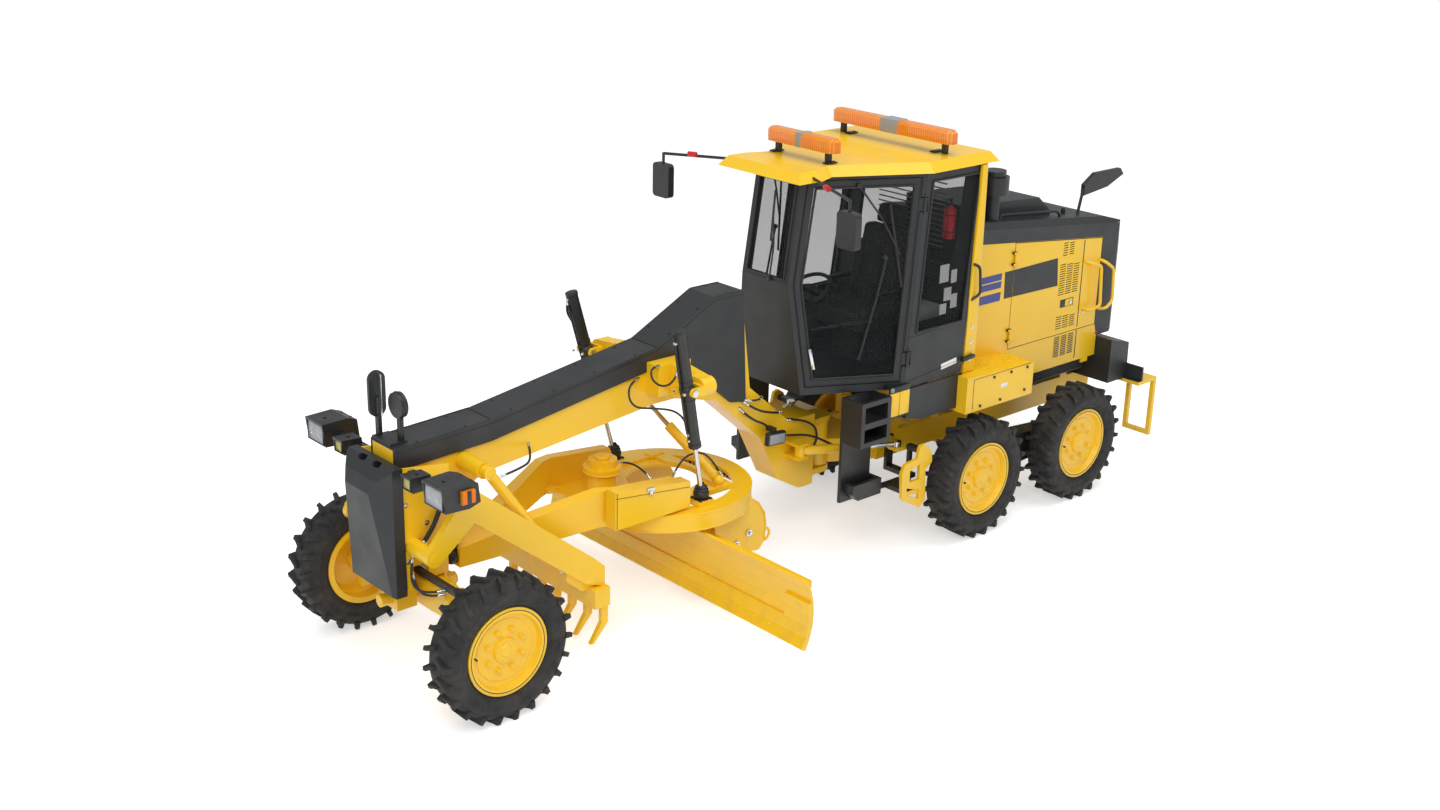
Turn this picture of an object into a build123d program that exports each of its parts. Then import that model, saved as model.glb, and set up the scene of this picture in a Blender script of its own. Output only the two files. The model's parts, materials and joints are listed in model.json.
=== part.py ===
import os
from math import cos, pi, radians, sin

from build123d import *

# A motor grader. Lengths are in millimetres. The machine is laid out from its front axle:
# x forward, y to its left, z up from the ground. ROW_SHIFT then centres it over the origin.

# Wheels and axles
TYRE_RADIUS = 525
TYRE_WIDTH = 280
TREAD_WIDTH = 236
RIM_RADIUS = 319
RIM_WIDTH = 222
SEAT_RADIUS = 292
HUB_RADIUS = 95
LUG_COUNT = 16
LUG_ROOT = TYRE_RADIUS - 55
STUB_RADIUS = 46
TRACK = 1820
FRONT_LEAN_INSET = 300
KING_PIN_INSET = 182
TANDEM_CENTRE_X = -5597
TANDEM_SPACING = 1353
TANDEM_INNER = TRACK / 2 - 350
TANDEM_OUTER = TRACK / 2 - 170
KING_PIN_Y = TRACK / 2 - KING_PIN_INSET
LEAN_PIN_Y = TRACK / 2 - FRONT_LEAN_INSET
LEAN_BAR_RISE = 300
HORN_X = 60
KING_PIN_RADIUS = 22

# Articulation
HITCH_X = -3900
HITCH_EAR_TOP = 1060
HITCH_EAR_LOW = 560
EAR_THICKNESS = 50
HITCH_RADIUS = 105
HITCH_PIN_RADIUS = 45

# Front frame
BEAM_HALF_WIDTH = 130
COVER_HALF_WIDTH = 153
COVER_SKIRT = 160
POST_HALF_WIDTH = 268
NOSE_FRONT_X = 506
AXLE_PIN_Z = TYRE_RADIUS + 104
AXLE_PIN_RADIUS = 45

# Drawbar, circle and blade
BALL_X = -230
BALL_Z = 800
BALL_RADIUS = 62
STEM_RADIUS = 24
CIRCLE_X = -2200
CIRCLE_RADIUS = 700
CIRCLE_TOP = 880
CIRCLE_LOW = 735
PLATE_THICKNESS = 22
DRAWBAR_HALF_WIDTH = 462
BEAM_WALL = 90
BLADE_LENGTH = 3100
BLADE_SHIFT = 220
BLADE_HEIGHT = 540
BLADE_LOW = 150
BLADE_X = -2060
BLADE_THICKNESS = 20
BLADE_RADIUS = 560
EDGE_THICKNESS = 16
END_BIT_WIDTH = 260
TIP_X = -2345
TIP_Z = 470

# Lift cylinders and their yokes
YOKE_X = -1915
YOKE_Y = 605
YOKE_Z = 1857
LIFT_TOP_Z = 2340
LIFT_BALL_X = -2131
LIFT_BALL_Y = 534
LIFT_BALL_Z = 968
PAD_TOP = 923
LIFT_BARREL_RADIUS = 46
LIFT_ROD_RADIUS = 19
COLLAR_RADIUS = 62

# Scarifier
SCARIFIER_PIVOT_X = 250
SCARIFIER_PIVOT_Z = 1110
SCARIFIER_Y = 526
SCARIFIER_BAR_X = -1130
SCARIFIER_BAR_Z = 400
SCARIFIER_HALF_WIDTH = 600

# Cab
CAB_FLOOR_Z = 1450
CAB_SILL_Z = CAB_FLOOR_Z + 900
CAB_TOP_Z = 3200
CAB_WALL = 45
ROOF_RISE = 80
DOOR_GAP = 6
HINGE_HEIGHTS = (CAB_FLOOR_Z + 250, CAB_TOP_Z - 250)
GLASS_THICKNESS = 8

# Rear frame and hood
RAIL_HALF_WIDTH = 330
RAIL_LOW = 640
RAIL_TOP = 860
REAR_X = -7250
HOOD_FRONT_X = -5190
HOOD_REAR_X = -6960
HOOD_HALF_WIDTH = 545
HOOD_LOW = 1100
DOOR_FRONT_X = -5700
DOOR_LOW = 1410
CAP_FRONT_Z = 2430
CAP_REAR_Z = 2235
CAP_RISE = 180
CAP_BEVEL = 50
LOUVRE_DEPTH = 8
INTAKE = (-5515, 400, 3010)

FIT = 0.05
SEAT = 0.3
STEP_REAR_X = -7540
ROW_SHIFT = Location((-(NOSE_FRONT_X + STEP_REAR_X) / 2, -BLADE_SHIFT, 0))


# Plain shapes

def box(x, y, z):
    """Block between two corners, each axis as a low and a high value."""
    size = [pair[1] - pair[0] for pair in (x, y, z)]
    centre = [(pair[0] + pair[1]) / 2 for pair in (x, y, z)]
    return Pos(*centre) * Box(*size)


def rod(start, end, radius):
    """Round bar from one point to another."""
    axis = Vector(*end) - Vector(*start)
    return extrude(Plane(origin=start, z_dir=axis) * Circle(radius), amount=axis.length)


def ball(centre, radius):
    return Pos(*centre) * Sphere(radius)


def side_plate(points, y):
    """Outline of x, z points, as thick as the span y."""
    plane = Plane(origin=(0, y[0], 0), x_dir=(1, 0, 0), z_dir=(0, -1, 0))
    return extrude(plane * Polygon(*points, align=None), amount=y[1] - y[0], dir=(0, 1, 0))


def cross_plate(points, x):
    """Outline of y, z points, as thick as the span x."""
    plane = Plane(origin=(x[0], 0, 0), x_dir=(0, 1, 0), z_dir=(1, 0, 0))
    return extrude(plane * Polygon(*points, align=None), amount=x[1] - x[0], dir=(1, 0, 0))


def flat_plate(points, z):
    """Outline of x, y points, as thick as the span z."""
    return extrude(Pos(0, 0, z[0]) * Polygon(*points, align=None), amount=z[1] - z[0], dir=(0, 0, 1))


def turned(points, x, z):
    """Outline of y, radius points, turned about a cross axis through x, z."""
    plane = Plane(origin=(x, 0, z), x_dir=(0, 1, 0), z_dir=(1, 0, 0))
    return revolve(plane * Polygon(*points, align=None), axis=Axis((x, 0, z), (0, 1, 0)))


def mirrored(shape):
    return mirror(shape, about=Plane.XZ)


def both(shape):
    return shape + mirrored(shape)


def along(start, end, distance):
    """Point at a distance from start, towards end."""
    a, b = Vector(*start), Vector(*end)
    return tuple(a + (b - a).normalized() * distance)


# Wheels

def tyre_ring(y, radius):
    """Many-sided outline of the tyre at a place across it."""
    plane = Plane(origin=(0, y, 0), x_dir=(1, 0, 0), z_dir=(0, 1, 0))
    return plane * RegularPolygon(radius, LUG_COUNT)


def tyre_lug(angle, side):
    """Slanted lug from the middle of the tread to the shoulder."""
    edge, top = TYRE_WIDTH / 2 - 1, TREAD_WIDTH / 2 - 6
    low_face = [(-26, side * 3), (30, side * 3), (68, side * edge), (0, side * edge)]
    top_face = [(-20, side * 3), (24, side * 3), (60, side * top), (4, side * top)]
    levels = ((low_face, LUG_ROOT), (top_face, TYRE_RADIUS - 2))
    shape = loft([Pos(0, 0, z) * make_face(Polyline(*face, close=True)) for face, z in levels], ruled=True)
    return Rot(0, angle, 0) * shape


def tyre_shape():
    """Tyre about the origin, its slanted lugs in two rows half a pitch apart."""
    bead, flank, tread = RIM_WIDTH / 2 - 12, TYRE_WIDTH / 2 - 2, TREAD_WIDTH / 2 - 10
    flank_radius, root = RIM_RADIUS + 96, TYRE_RADIUS - 23
    profile = [(-flank, flank_radius), (-tread, root), (tread, root), (flank, flank_radius)]
    shape = None
    for first, second in zip(profile, profile[1:]):
        band = loft([tyre_ring(*first), tyre_ring(*second)], ruled=True)
        shape = band if shape is None else shape + band
    shape -= extrude(tyre_ring(-bead, SEAT_RADIUS / cos(pi / LUG_COUNT)), amount=2 * bead)
    for side in (-1, 1):
        outside, inside = tyre_ring(side * flank, flank_radius), tyre_ring(side * bead, RIM_RADIUS + 11)
        shape -= loft([outside, inside], ruled=True)
    pitch = 360 / LUG_COUNT
    lugs = [tyre_lug(pitch * index, 1) for index in range(LUG_COUNT)]
    lugs += [tyre_lug(pitch * (index + 0.5), -1) for index in range(LUG_COUNT)]
    return shape.fuse(*lugs)


def tyre_at(shape, x, side):
    piece = Pos(x, TRACK / 2, TYRE_RADIUS) * shape
    return piece if side > 0 else mirrored(piece)


def rim(x, side):
    """Disc wheel: barrel with two flanges, dished disc, hub with a blind bore, and lug nuts."""
    flange, bead = RIM_WIDTH / 2, RIM_WIDTH / 2 - 12
    outline = [(-flange, SEAT_RADIUS - 16), (-flange, RIM_RADIUS), (-bead, RIM_RADIUS)]
    outline += [(-bead, SEAT_RADIUS), (bead, SEAT_RADIUS), (bead, RIM_RADIUS), (flange, RIM_RADIUS)]
    outline += [(flange, SEAT_RADIUS - 14), (70, 262), (62, 205), (66, HUB_RADIUS), (88, HUB_RADIUS - 8)]
    outline += [(88, 0), (30, 0), (30, STUB_RADIUS + FIT), (-40, STUB_RADIUS + FIT), (-40, HUB_RADIUS)]
    outline += [(44, HUB_RADIUS), (44, 240), (-10, SEAT_RADIUS - 16)]
    wheel = turned([(side * (TRACK / 2 + y), r) for y, r in outline], x, TYRE_RADIUS)
    for index in range(8):
        angle = radians(22.5 + 45 * index)
        at_x, at_z = x + 150 * cos(angle), TYRE_RADIUS + 150 * sin(angle)
        wheel += rod((at_x, side * (TRACK / 2 + 60), at_z), (at_x, side * (TRACK / 2 + 84), at_z), 16)
    return wheel


def stub(x, side, inner):
    """Axle stub from a plane at inner to the blind end of the wheel's bore."""
    start, end = side * inner, side * (TRACK / 2 + 29)
    return rod((x, start, TYRE_RADIUS), (x, end, TYRE_RADIUS), STUB_RADIUS)


# Front frame

COVER_TOP = [(290, 1785), (-499, 1824), (-1996, 2058), (-2570, 2350), (-2870, 2350)]
COVER_PLATE = 12


def front_frame():
    top = [(x, z - COVER_PLATE) for x, z in COVER_TOP]
    low = [(-2985, 1520), (-3440, 1130), (-3740, 1130), (-3740, 500), (-3580, 500), (-3330, 640)]
    low += [(-3110, 1060), (-2620, 1490), (-2200, 1600), (-1990, 1600), (-1090, 1500), (-420, 1430)]
    low += [(-260, 1330)]
    low += [(-120, 1180), (-120, 760), (290, 760)]
    frame = side_plate(top + low, (-BEAM_HALF_WIDTH, BEAM_HALF_WIDTH))
    side = [(318, 1690), (318, 1400), (300, 790), (262, 790), (250, 1150), (60, 1180), (-60, 1560), (-60, 1640)]
    frame += both(side_plate(side, (POST_HALF_WIDTH - 16, POST_HALF_WIDTH)))
    frame += box((225, 268), (-POST_HALF_WIDTH, POST_HALF_WIDTH), (1160, 1600))
    # Passage for the lean bar
    passage = (TYRE_RADIUS + 125, TYRE_RADIUS + LEAN_BAR_RISE + 55)
    frame -= box((45, 170), (-BEAM_HALF_WIDTH - 1, BEAM_HALF_WIDTH + 1), passage)
    # Ears that carry the axle's pin
    frame += box((130, 290), (-100, 100), (560, 700)) + box((170, 290), (-100, 100), (560, 780))
    frame += box((-200, -100), (-100, 100), (560, 700)) + box((-125, -100), (-100, 100), (560, 800))
    frame -= rod((-210, 0, AXLE_PIN_Z), (300, 0, AXLE_PIN_Z), AXLE_PIN_RADIUS + SEAT)
    # Block above the drawbar's ball, with the bore for its stem
    frame += box((BALL_X - 50, -110), (-60, 60), (BALL_Z + 110, 1200))
    frame -= rod((BALL_X, 0, BALL_Z), (BALL_X, 0, BALL_Z + 230), STEM_RADIUS + FIT)
    # Ears of the hitch, above and below the rear frame's hub
    for low_z, high_z in ((HITCH_EAR_LOW, HITCH_EAR_LOW + EAR_THICKNESS),
                          (HITCH_EAR_TOP - EAR_THICKNESS, HITCH_EAR_TOP)):
        ear = box((HITCH_X, -3700), (-HITCH_RADIUS, HITCH_RADIUS), (low_z, high_z))
        ear += rod((HITCH_X, 0, low_z), (HITCH_X, 0, high_z), HITCH_RADIUS)
        frame += ear
    frame += rod((HITCH_X, 0, HITCH_EAR_LOW), (HITCH_X, 0, HITCH_EAR_TOP), HITCH_PIN_RADIUS)
    return frame


def frame_cover():
    """Dark cover over the box beam, with skirts, and side panels on the gooseneck."""
    skirt = [(-2870, 2350), (-2925, 1420), (-2760, 1450), (-2200, 1930), (-2020, 1900)]
    skirt += [(-499, 1824 - COVER_SKIRT), (290, 1785 - COVER_SKIRT)]
    cover = side_plate(COVER_TOP[:-1] + skirt, (-COVER_HALF_WIDTH, COVER_HALF_WIDTH))
    inside = [(x, z - COVER_PLATE) for x, z in COVER_TOP]
    inside += [(-2990, 2350 - COVER_PLATE), (-2990, 1300), (400, 1300), (400, 1785 - COVER_PLATE)]
    return cover - side_plate(inside, (-BEAM_HALF_WIDTH, BEAM_HALF_WIDTH))


def nose_cover():
    """Faceted guard in front of the post."""
    plan_top = [(318, -290), (318, 290), (400, 290), (NOSE_FRONT_X, 150), (NOSE_FRONT_X, -150), (400, -290)]
    body = flat_plate(plan_top, (760, 1700))
    front = [(318, 1760), (330, 1760), (470, 1610), (NOSE_FRONT_X, 1520), (420, 770), (318, 700)]
    body = body & side_plate(front, (-300, 300))
    for y in (-90, 90):
        hole = Pos(400, y, 1700) * Rot(0, 40, 0) * extrude(SlotOverall(90, 50, rotation=90), 120, both=True)
        body -= hole
    return body


def lift_arm():
    """Arms across the gooseneck, each with a tube for its yoke's shank."""
    tube = rod((YOKE_X - 105, YOKE_Y, YOKE_Z), (YOKE_X - 225, YOKE_Y, YOKE_Z), 70)
    arm = [(BEAM_HALF_WIDTH, 1720), (BEAM_HALF_WIDTH, 1960), (300, 1960), (620, 1920), (620, 1800), (300, 1720)]
    arm_body = cross_plate(arm, (YOKE_X - 225, YOKE_X - 105))
    root = [(BEAM_HALF_WIDTH, 1720), (BEAM_HALF_WIDTH, 1960), (290, 1960), (290, 1720)]
    arm_body += cross_plate(root, (YOKE_X - 300, YOKE_X + 15))
    shape = tube + arm_body
    shape -= rod((YOKE_X - 60, YOKE_Y, YOKE_Z), (YOKE_X - 240, YOKE_Y, YOKE_Z), 35 + FIT)
    edge = [(-2870, 2350), (-2925, 1420), (-2760, 1450), (-2200, 1930), (-2020, 1900)]
    panel = side_plate(COVER_TOP[1:-1] + edge + [(-499, 1824 - COVER_SKIRT)], (0, COVER_HALF_WIDTH))
    return both(shape - panel)


# Front axle with leaning, steered wheels

def front_axle():
    end, low, high = LEAN_PIN_Y - 60, AXLE_PIN_Z - 89, AXLE_PIN_Z + 111
    beam = [(-end, low + 20), (-200, low), (200, low), (end, low + 20)]
    beam += [(end, high - 90), (250, high), (-250, high), (-end, high - 90)]
    shape = cross_plate(beam, (-80, 80))
    for side in (-1, 1):
        lug = rod((-80, side * LEAN_PIN_Y, TYRE_RADIUS), (80, side * LEAN_PIN_Y, TYRE_RADIUS), 55)
        inner, outer, z = side * (LEAN_PIN_Y - 65), side * LEAN_PIN_Y, TYRE_RADIUS
        arm = [(inner, z - 45), (outer, z - 45), (outer, z + 45), (inner, z + 115)]
        shape += lug + cross_plate(arm, (-80, 80))
        shape += rod((-118, side * LEAN_PIN_Y, TYRE_RADIUS), (118, side * LEAN_PIN_Y, TYRE_RADIUS), 24)
    shape -= rod((-85, 0, AXLE_PIN_Z), (85, 0, AXLE_PIN_Z), AXLE_PIN_RADIUS - 1)
    return shape + rod((-250, 0, AXLE_PIN_Z), (368, 0, AXLE_PIN_Z), AXLE_PIN_RADIUS)


def lean_bracket(side):
    """Fork on the axle's end, which leans, with the king pin's ears and the lean bar's horn."""
    pin, king, z = side * LEAN_PIN_Y, side * KING_PIN_Y, TYRE_RADIUS
    shape = box((-118, 118), sorted((side * (LEAN_PIN_Y + 58), side * (KING_PIN_Y - 4))), (z + 70, z + 110))
    shape += box((-118, 118), sorted((side * (LEAN_PIN_Y + 58), side * (KING_PIN_Y - 4))), (z - 110, z - 70))
    for low, high in ((z + 70, z + 110), (z - 110, z - 70)):
        shape += rod((0, king, low), (0, king, high), 50)
    for x in ((-118, -86), (86, 118)):
        shape += rod((x[0], pin, z), (x[1], pin, z), 58)
        shape += box(x, sorted((pin, side * (KING_PIN_Y - 4))), (z - 58, z + 58))
        shape += box(x, sorted((side * (LEAN_PIN_Y + 58), side * (KING_PIN_Y - 4))), (z - 110, z + 110))
    shape -= rod((-120, pin, z), (120, pin, z), 24 + FIT)
    shape -= rod((0, king, z - 120), (0, king, z + 120), KING_PIN_RADIUS + FIT)
    high = z + LEAN_BAR_RISE
    horn = [(side * (LEAN_PIN_Y + 58), z + 90), (side * (KING_PIN_Y - 4), z + 90), (pin + side * 34, high + 34)]
    horn += [(pin - side * 34, high + 34), (pin - side * 34, high - 34)]
    return shape + cross_plate(horn, (HORN_X, HORN_X + 30))


def lean_bar():
    """Bar that makes both wheels lean together, in front of the brackets' horns."""
    z = TYRE_RADIUS + LEAN_BAR_RISE
    x = (HORN_X + 30 + SEAT, HORN_X + 60)
    shape = box(x, (-LEAN_PIN_Y, LEAN_PIN_Y), (z - 26, z + 26))
    for side in (-1, 1):
        shape += rod((x[0], side * LEAN_PIN_Y, z), (x[1], side * LEAN_PIN_Y, z), 34)
    return shape


def knuckle(side):
    """Steering knuckle with its king pin and the wheel's stub."""
    king, z = side * KING_PIN_Y, TYRE_RADIUS
    shape = rod((0, king, z - 69), (0, king, z + 69), 48)
    shape += rod((0, king, z - 115), (0, king, z + 115), KING_PIN_RADIUS)
    return shape + stub(0, side, KING_PIN_Y)


# Drawbar, circle and blade

def draft_ball():
    shape = ball((BALL_X, 0, BALL_Z), BALL_RADIUS)
    return shape + rod((BALL_X, 0, BALL_Z), (BALL_X, 0, BALL_Z + 215), STEM_RADIUS)


def drawbar():
    """Two beams that spread from the ball to the circle's plate, with ears for the lift balls."""
    rear = CIRCLE_X - 330
    wide, wall = DRAWBAR_HALF_WIDTH, BEAM_WALL
    plan = [(BALL_X - 20, -75), (BALL_X - 20, 75), (-1420, wide), (rear, wide), (rear, -wide), (-1420, -wide)]
    hole = [(-480, 0), (-1390, wide - wall), (rear + 120, wide - wall), (rear + 120, -wide + wall)]
    hole += [(-1390, -wide + wall)]
    base = CIRCLE_TOP + SEAT
    beams = flat_plate(plan, (600, 1400)) - flat_plate(hole, (600, 1400))
    side = [(BALL_X, 725), (BALL_X, 870), (-1270, 1165), (-1960, 1100), (-2030, PAD_TOP), (rear, PAD_TOP)]
    side += [(rear, base), (-1270, base)]
    shape = beams & side_plate(side, (-600, 600))
    plate = [(-1390, -wide), (-1390, wide), (rear, wide), (rear, -wide)]
    shape += flat_plate(plate, (base, base + PLATE_THICKNESS))
    shape -= rod((CIRCLE_X, 0, 700), (CIRCLE_X, 0, 1300), 290)
    shape -= ball((BALL_X, 0, BALL_Z), BALL_RADIUS + SEAT)
    shape -= box((BALL_X - 20, 0), (-100, 100), (600, 1000))
    shape -= rod((BALL_X, 0, BALL_Z), (BALL_X, 0, 1000), STEM_RADIUS + 26)
    pad = box((LIFT_BALL_X - 75, LIFT_BALL_X + 75), (wide - 10, LIFT_BALL_Y + 60), (base, PAD_TOP))
    return shape + both(pad)


def valve_box():
    top = [(-1270, 900), (-1270, 1200), (-1990, 1110), (-1990, 900)]
    return side_plate(top, (DRAWBAR_HALF_WIDTH, DRAWBAR_HALF_WIDTH + 110))


def circle_motor():
    base = CIRCLE_TOP + SEAT + PLATE_THICKNESS
    shape = rod((-1600, 0, base), (-1600, 0, 1120), 120)
    shape += rod((-1600, 0, 1120), (-1600, 0, 1160), 150)
    return shape + rod((-1600, 0, 1160), (-1600, 0, 1215), 110)


ARM_BACK = [(-2480, CIRCLE_TOP - 30), (-2600, 825), (-2700, 750), (-2765, 650), (-2785, 540), (-2770, 400)]
ARM_BACK += [(-2720, 340), (-2420, 370)]


def circle():
    """Ring with a skirt, and two rounded side plates down to the blade's hinge."""
    shape = rod((CIRCLE_X, 0, CIRCLE_LOW), (CIRCLE_X, 0, CIRCLE_TOP), CIRCLE_RADIUS)
    shape -= rod((CIRCLE_X, 0, CIRCLE_LOW - 5), (CIRCLE_X, 0, CIRCLE_TOP - 30), CIRCLE_RADIUS - 40)
    shape -= rod((CIRCLE_X, 0, CIRCLE_TOP - 35), (CIRCLE_X, 0, CIRCLE_TOP + 5), CIRCLE_RADIUS - 150)
    arm = [(-1800, CIRCLE_LOW + 5), (-1800, CIRCLE_TOP - 30)] + ARM_BACK
    arm += [(TIP_X, TIP_Z - 60), (TIP_X + 60, TIP_Z), (-2245, 640), (-2245, CIRCLE_LOW + 5)]
    arms = side_plate(arm, (540, 575))
    arms -= rod((TIP_X, 500, TIP_Z), (TIP_X, 620, TIP_Z), 30 + FIT)
    return shape + both(arms)


def tilt_carrier():
    """Cross tube on the hinge, with brackets that hold the blade's rails."""
    shape = rod((TIP_X, -610, TIP_Z), (TIP_X, 610, TIP_Z), 30)
    shape += rod((TIP_X, -534, TIP_Z), (TIP_X, 534, TIP_Z), 42)
    for y in ((470, 530), (-530, -470)):
        plate = [(TIP_X - 50, TIP_Z - 40), (TIP_X - 50, TIP_Z + 60), (RAIL_BACK - 60, RAIL_TOP_Z + 50)]
        plate += [(RAIL_BACK, RAIL_TOP_Z + 50), (RAIL_BACK, RAIL_LOW_Z - 50), (RAIL_BACK - 60, RAIL_LOW_Z - 50)]
        shape += side_plate(plate, y)
    return shape


RAIL_BACK = -2215
RAIL_FRONT = -2150
RAIL_TOP_Z = 600
RAIL_LOW_Z = 300


def blade_points(offset):
    """Concave face of the blade, as x, z points on an arc, moved back by an offset."""
    centre_x = BLADE_X + 492
    middle_z = BLADE_LOW + BLADE_HEIGHT / 2
    radius = BLADE_RADIUS + offset
    rise = [-28.8, -19.2, -9.6, 0, 9.6, 19.2, 28.8]
    return [(centre_x - radius * cos(radians(a)), middle_z + radius * sin(radians(a))) for a in rise]


def moldboard():
    """Curved blade with a cutting edge, end bits and two rails behind."""
    outline = blade_points(0) + list(reversed(blade_points(BLADE_THICKNESS)))
    ends = (BLADE_SHIFT - BLADE_LENGTH / 2, BLADE_SHIFT + BLADE_LENGTH / 2)
    shape = side_plate(outline, ends)
    edge = blade_points(-EDGE_THICKNESS)[:3] + list(reversed(blade_points(5)[:3]))
    shape += side_plate(edge, ends)
    bit = blade_points(-EDGE_THICKNESS - 8)[:5] + list(reversed(blade_points(5)[:5]))
    for low, high in ((ends[0], ends[0] + END_BIT_WIDTH), (ends[1] - END_BIT_WIDTH, ends[1])):
        shape += side_plate(bit, (low, high))
    rails = (ends[0] + 100, ends[1] - 100)
    for z in (RAIL_TOP_Z, RAIL_LOW_Z):
        shape += box((RAIL_BACK + SEAT, RAIL_FRONT + 25), rails, (z - 30, z + 30))
    return shape


# Lift cylinders

def lift_line(side):
    ball_point = (LIFT_BALL_X, side * LIFT_BALL_Y, LIFT_BALL_Z)
    pivot = (YOKE_X, side * YOKE_Y, YOKE_Z)
    return pivot, ball_point


def yoke(side):
    y = side * YOKE_Y
    shape = rod((YOKE_X - 78, y, YOKE_Z), (YOKE_X - 222, y, YOKE_Z), 35)
    shape += box((YOKE_X - 102, YOKE_X - 76), (y - 86, y + 86), (YOKE_Z - 34, YOKE_Z + 34))
    for inner in (y + COLLAR_RADIUS + SEAT, y - COLLAR_RADIUS - SEAT - 24):
        shape += box((YOKE_X - 102, YOKE_X), (inner, inner + 24), (YOKE_Z - 34, YOKE_Z + 34))
        shape += rod((YOKE_X, inner, YOKE_Z), (YOKE_X, inner + 24, YOKE_Z), 34)
    return shape


def lift_barrel(side):
    pivot, ball_point = lift_line(side)
    top = along(pivot, ball_point, -498)
    end = along(pivot, ball_point, 490)
    shape = rod(top, end, LIFT_BARREL_RADIUS) + ball(pivot, COLLAR_RADIUS)
    return shape - rod(along(pivot, ball_point, -440), along(pivot, ball_point, 500), LIFT_ROD_RADIUS + FIT)


def lift_rod(side):
    pivot, ball_point = lift_line(side)
    shape = rod(along(pivot, ball_point, -160), ball_point, LIFT_ROD_RADIUS)
    return shape + ball(ball_point, 38)


# Circle shift cylinder

SHIFT_TOP = (-2250, -330, 1480)
SHIFT_LOW = (-2400, 430, 971)


def shift_hanger():
    x, y, z = SHIFT_TOP
    return rod((x - 33, y, z), (x + 33, y, z), 26) - rod((x - 40, y, z), (x + 40, y, z), 16 + FIT)


def shift_bracket():
    """Bracket on the frame's far side for the hanger."""
    x, y, z = SHIFT_TOP
    shape = box((x - 58, x + 58), (y - 40, -BEAM_HALF_WIDTH), (z + 65, z + 200))
    for sides in ((x - 58, x - 34), (x + 34, x + 58)):
        shape += box(sides, (y - 40, y + 40), (z - 30, z + 100))
    return shape + rod((x - 58, y, z), (x + 58, y, z), 16)


def shift_rod():
    x, y, z = SHIFT_TOP
    shape = rod((x - 20, y, z), (x + 20, y, z), 44) + rod(SHIFT_TOP, along(SHIFT_TOP, SHIFT_LOW, 595), 19)
    return shape - rod((x - 40, y, z), (x + 40, y, z), 26 + FIT)


def shift_barrel():
    length = (Vector(*SHIFT_LOW) - Vector(*SHIFT_TOP)).length
    shape = rod(along(SHIFT_TOP, SHIFT_LOW, 330), along(SHIFT_TOP, SHIFT_LOW, length - 30), 40)
    shape -= rod(along(SHIFT_TOP, SHIFT_LOW, 325), along(SHIFT_TOP, SHIFT_LOW, length - 65), 19 + FIT)
    return shape + ball(SHIFT_LOW, 42)


# Scarifier

SCAR_TOP = (-260, 445, 1578)
SCAR_LOW = (-920, 445, 640)


def scarifier():
    """Two arms with a knee, a tool bar behind and hooked teeth."""
    arm = [(SCARIFIER_PIVOT_X - 40, SCARIFIER_PIVOT_Z - 50), (-70, 1290), (-1020, 540), (-1190, 480)]
    arm += [(-1190, 640), (-1080, 740), (-130, 1490), (10, 1490)]
    arm += [(SCARIFIER_PIVOT_X + 50, SCARIFIER_PIVOT_Z + 50)]
    plate = side_plate(arm, (SCARIFIER_Y - 25, SCARIFIER_Y + 25))
    plate += rod((SCARIFIER_PIVOT_X, SCARIFIER_Y - 25, SCARIFIER_PIVOT_Z),
                 (SCARIFIER_PIVOT_X, SCARIFIER_Y + 25, SCARIFIER_PIVOT_Z), 64)
    plate -= rod((SCARIFIER_PIVOT_X, SCARIFIER_Y - 30, SCARIFIER_PIVOT_Z),
                 (SCARIFIER_PIVOT_X, SCARIFIER_Y + 30, SCARIFIER_PIVOT_Z), 30 + FIT)
    shape = both(plate)
    ends = (-SCARIFIER_HALF_WIDTH, SCARIFIER_HALF_WIDTH)
    bar_x = (SCARIFIER_BAR_X - 70, SCARIFIER_BAR_X + 70)
    shape += box(bar_x, ends, (SCARIFIER_BAR_Z - 60, SCARIFIER_BAR_Z + 90))
    lug = [(-860, 600), (-860, 680), (-1100, 640), (-1100, 480), (-1000, 480)]
    shape += side_plate(lug, (SCAR_LOW[1] + 28 + SEAT, SCARIFIER_Y))
    return shape


def scarifier_teeth():
    shape = None
    hook = [(-1130, 345), (-1190, 345), (-1190, 200), (-1060, 60), (-1030, 60), (-1130, 210)]
    for index in range(7):
        y = (index - 3) * 190
        tooth = side_plate(hook, (y - 18, y + 18))
        shape = tooth if shape is None else shape + tooth
    return shape


def scarifier_barrel():
    shape = rod(along(SCAR_TOP, SCAR_LOW, 30), along(SCAR_TOP, SCAR_LOW, 640), 40)
    shape -= rod(along(SCAR_TOP, SCAR_LOW, 80), along(SCAR_TOP, SCAR_LOW, 650), 18 + FIT)
    x, y, z = SCAR_TOP
    eye = rod((x, y - 30, z), (x, y + 30, z), 48)
    return shape + eye - rod((x, y - 40, z), (x, y + 40, z), 25 + FIT)


def scarifier_rod():
    x, y, z = SCAR_LOW
    return rod(along(SCAR_TOP, SCAR_LOW, 420), SCAR_LOW, 18) + rod((x, y - 28, z), (x, y + 28, z), 36)


def scarifier_mounts():
    """Pivot pins on the post and the cylinder's pin on the beam."""
    x, z = SCARIFIER_PIVOT_X, SCARIFIER_PIVOT_Z
    shape = both(rod((x, POST_HALF_WIDTH - 10, z), (x, SCARIFIER_Y + 30, z), 30))
    shape += both(rod((x, POST_HALF_WIDTH, z), (x, SCARIFIER_Y - 30, z), 60))
    x, y, z = SCAR_TOP
    shape += rod((x, BEAM_HALF_WIDTH, z), (x, y + 34, z), 25)
    return shape + rod((x, BEAM_HALF_WIDTH, z), (x, y - 43, z), 62)


# Articulation cylinders

ARTIC_FRONT = (-3460, 250, 900)
ARTIC_REAR = (-4210, 640, 900)


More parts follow.
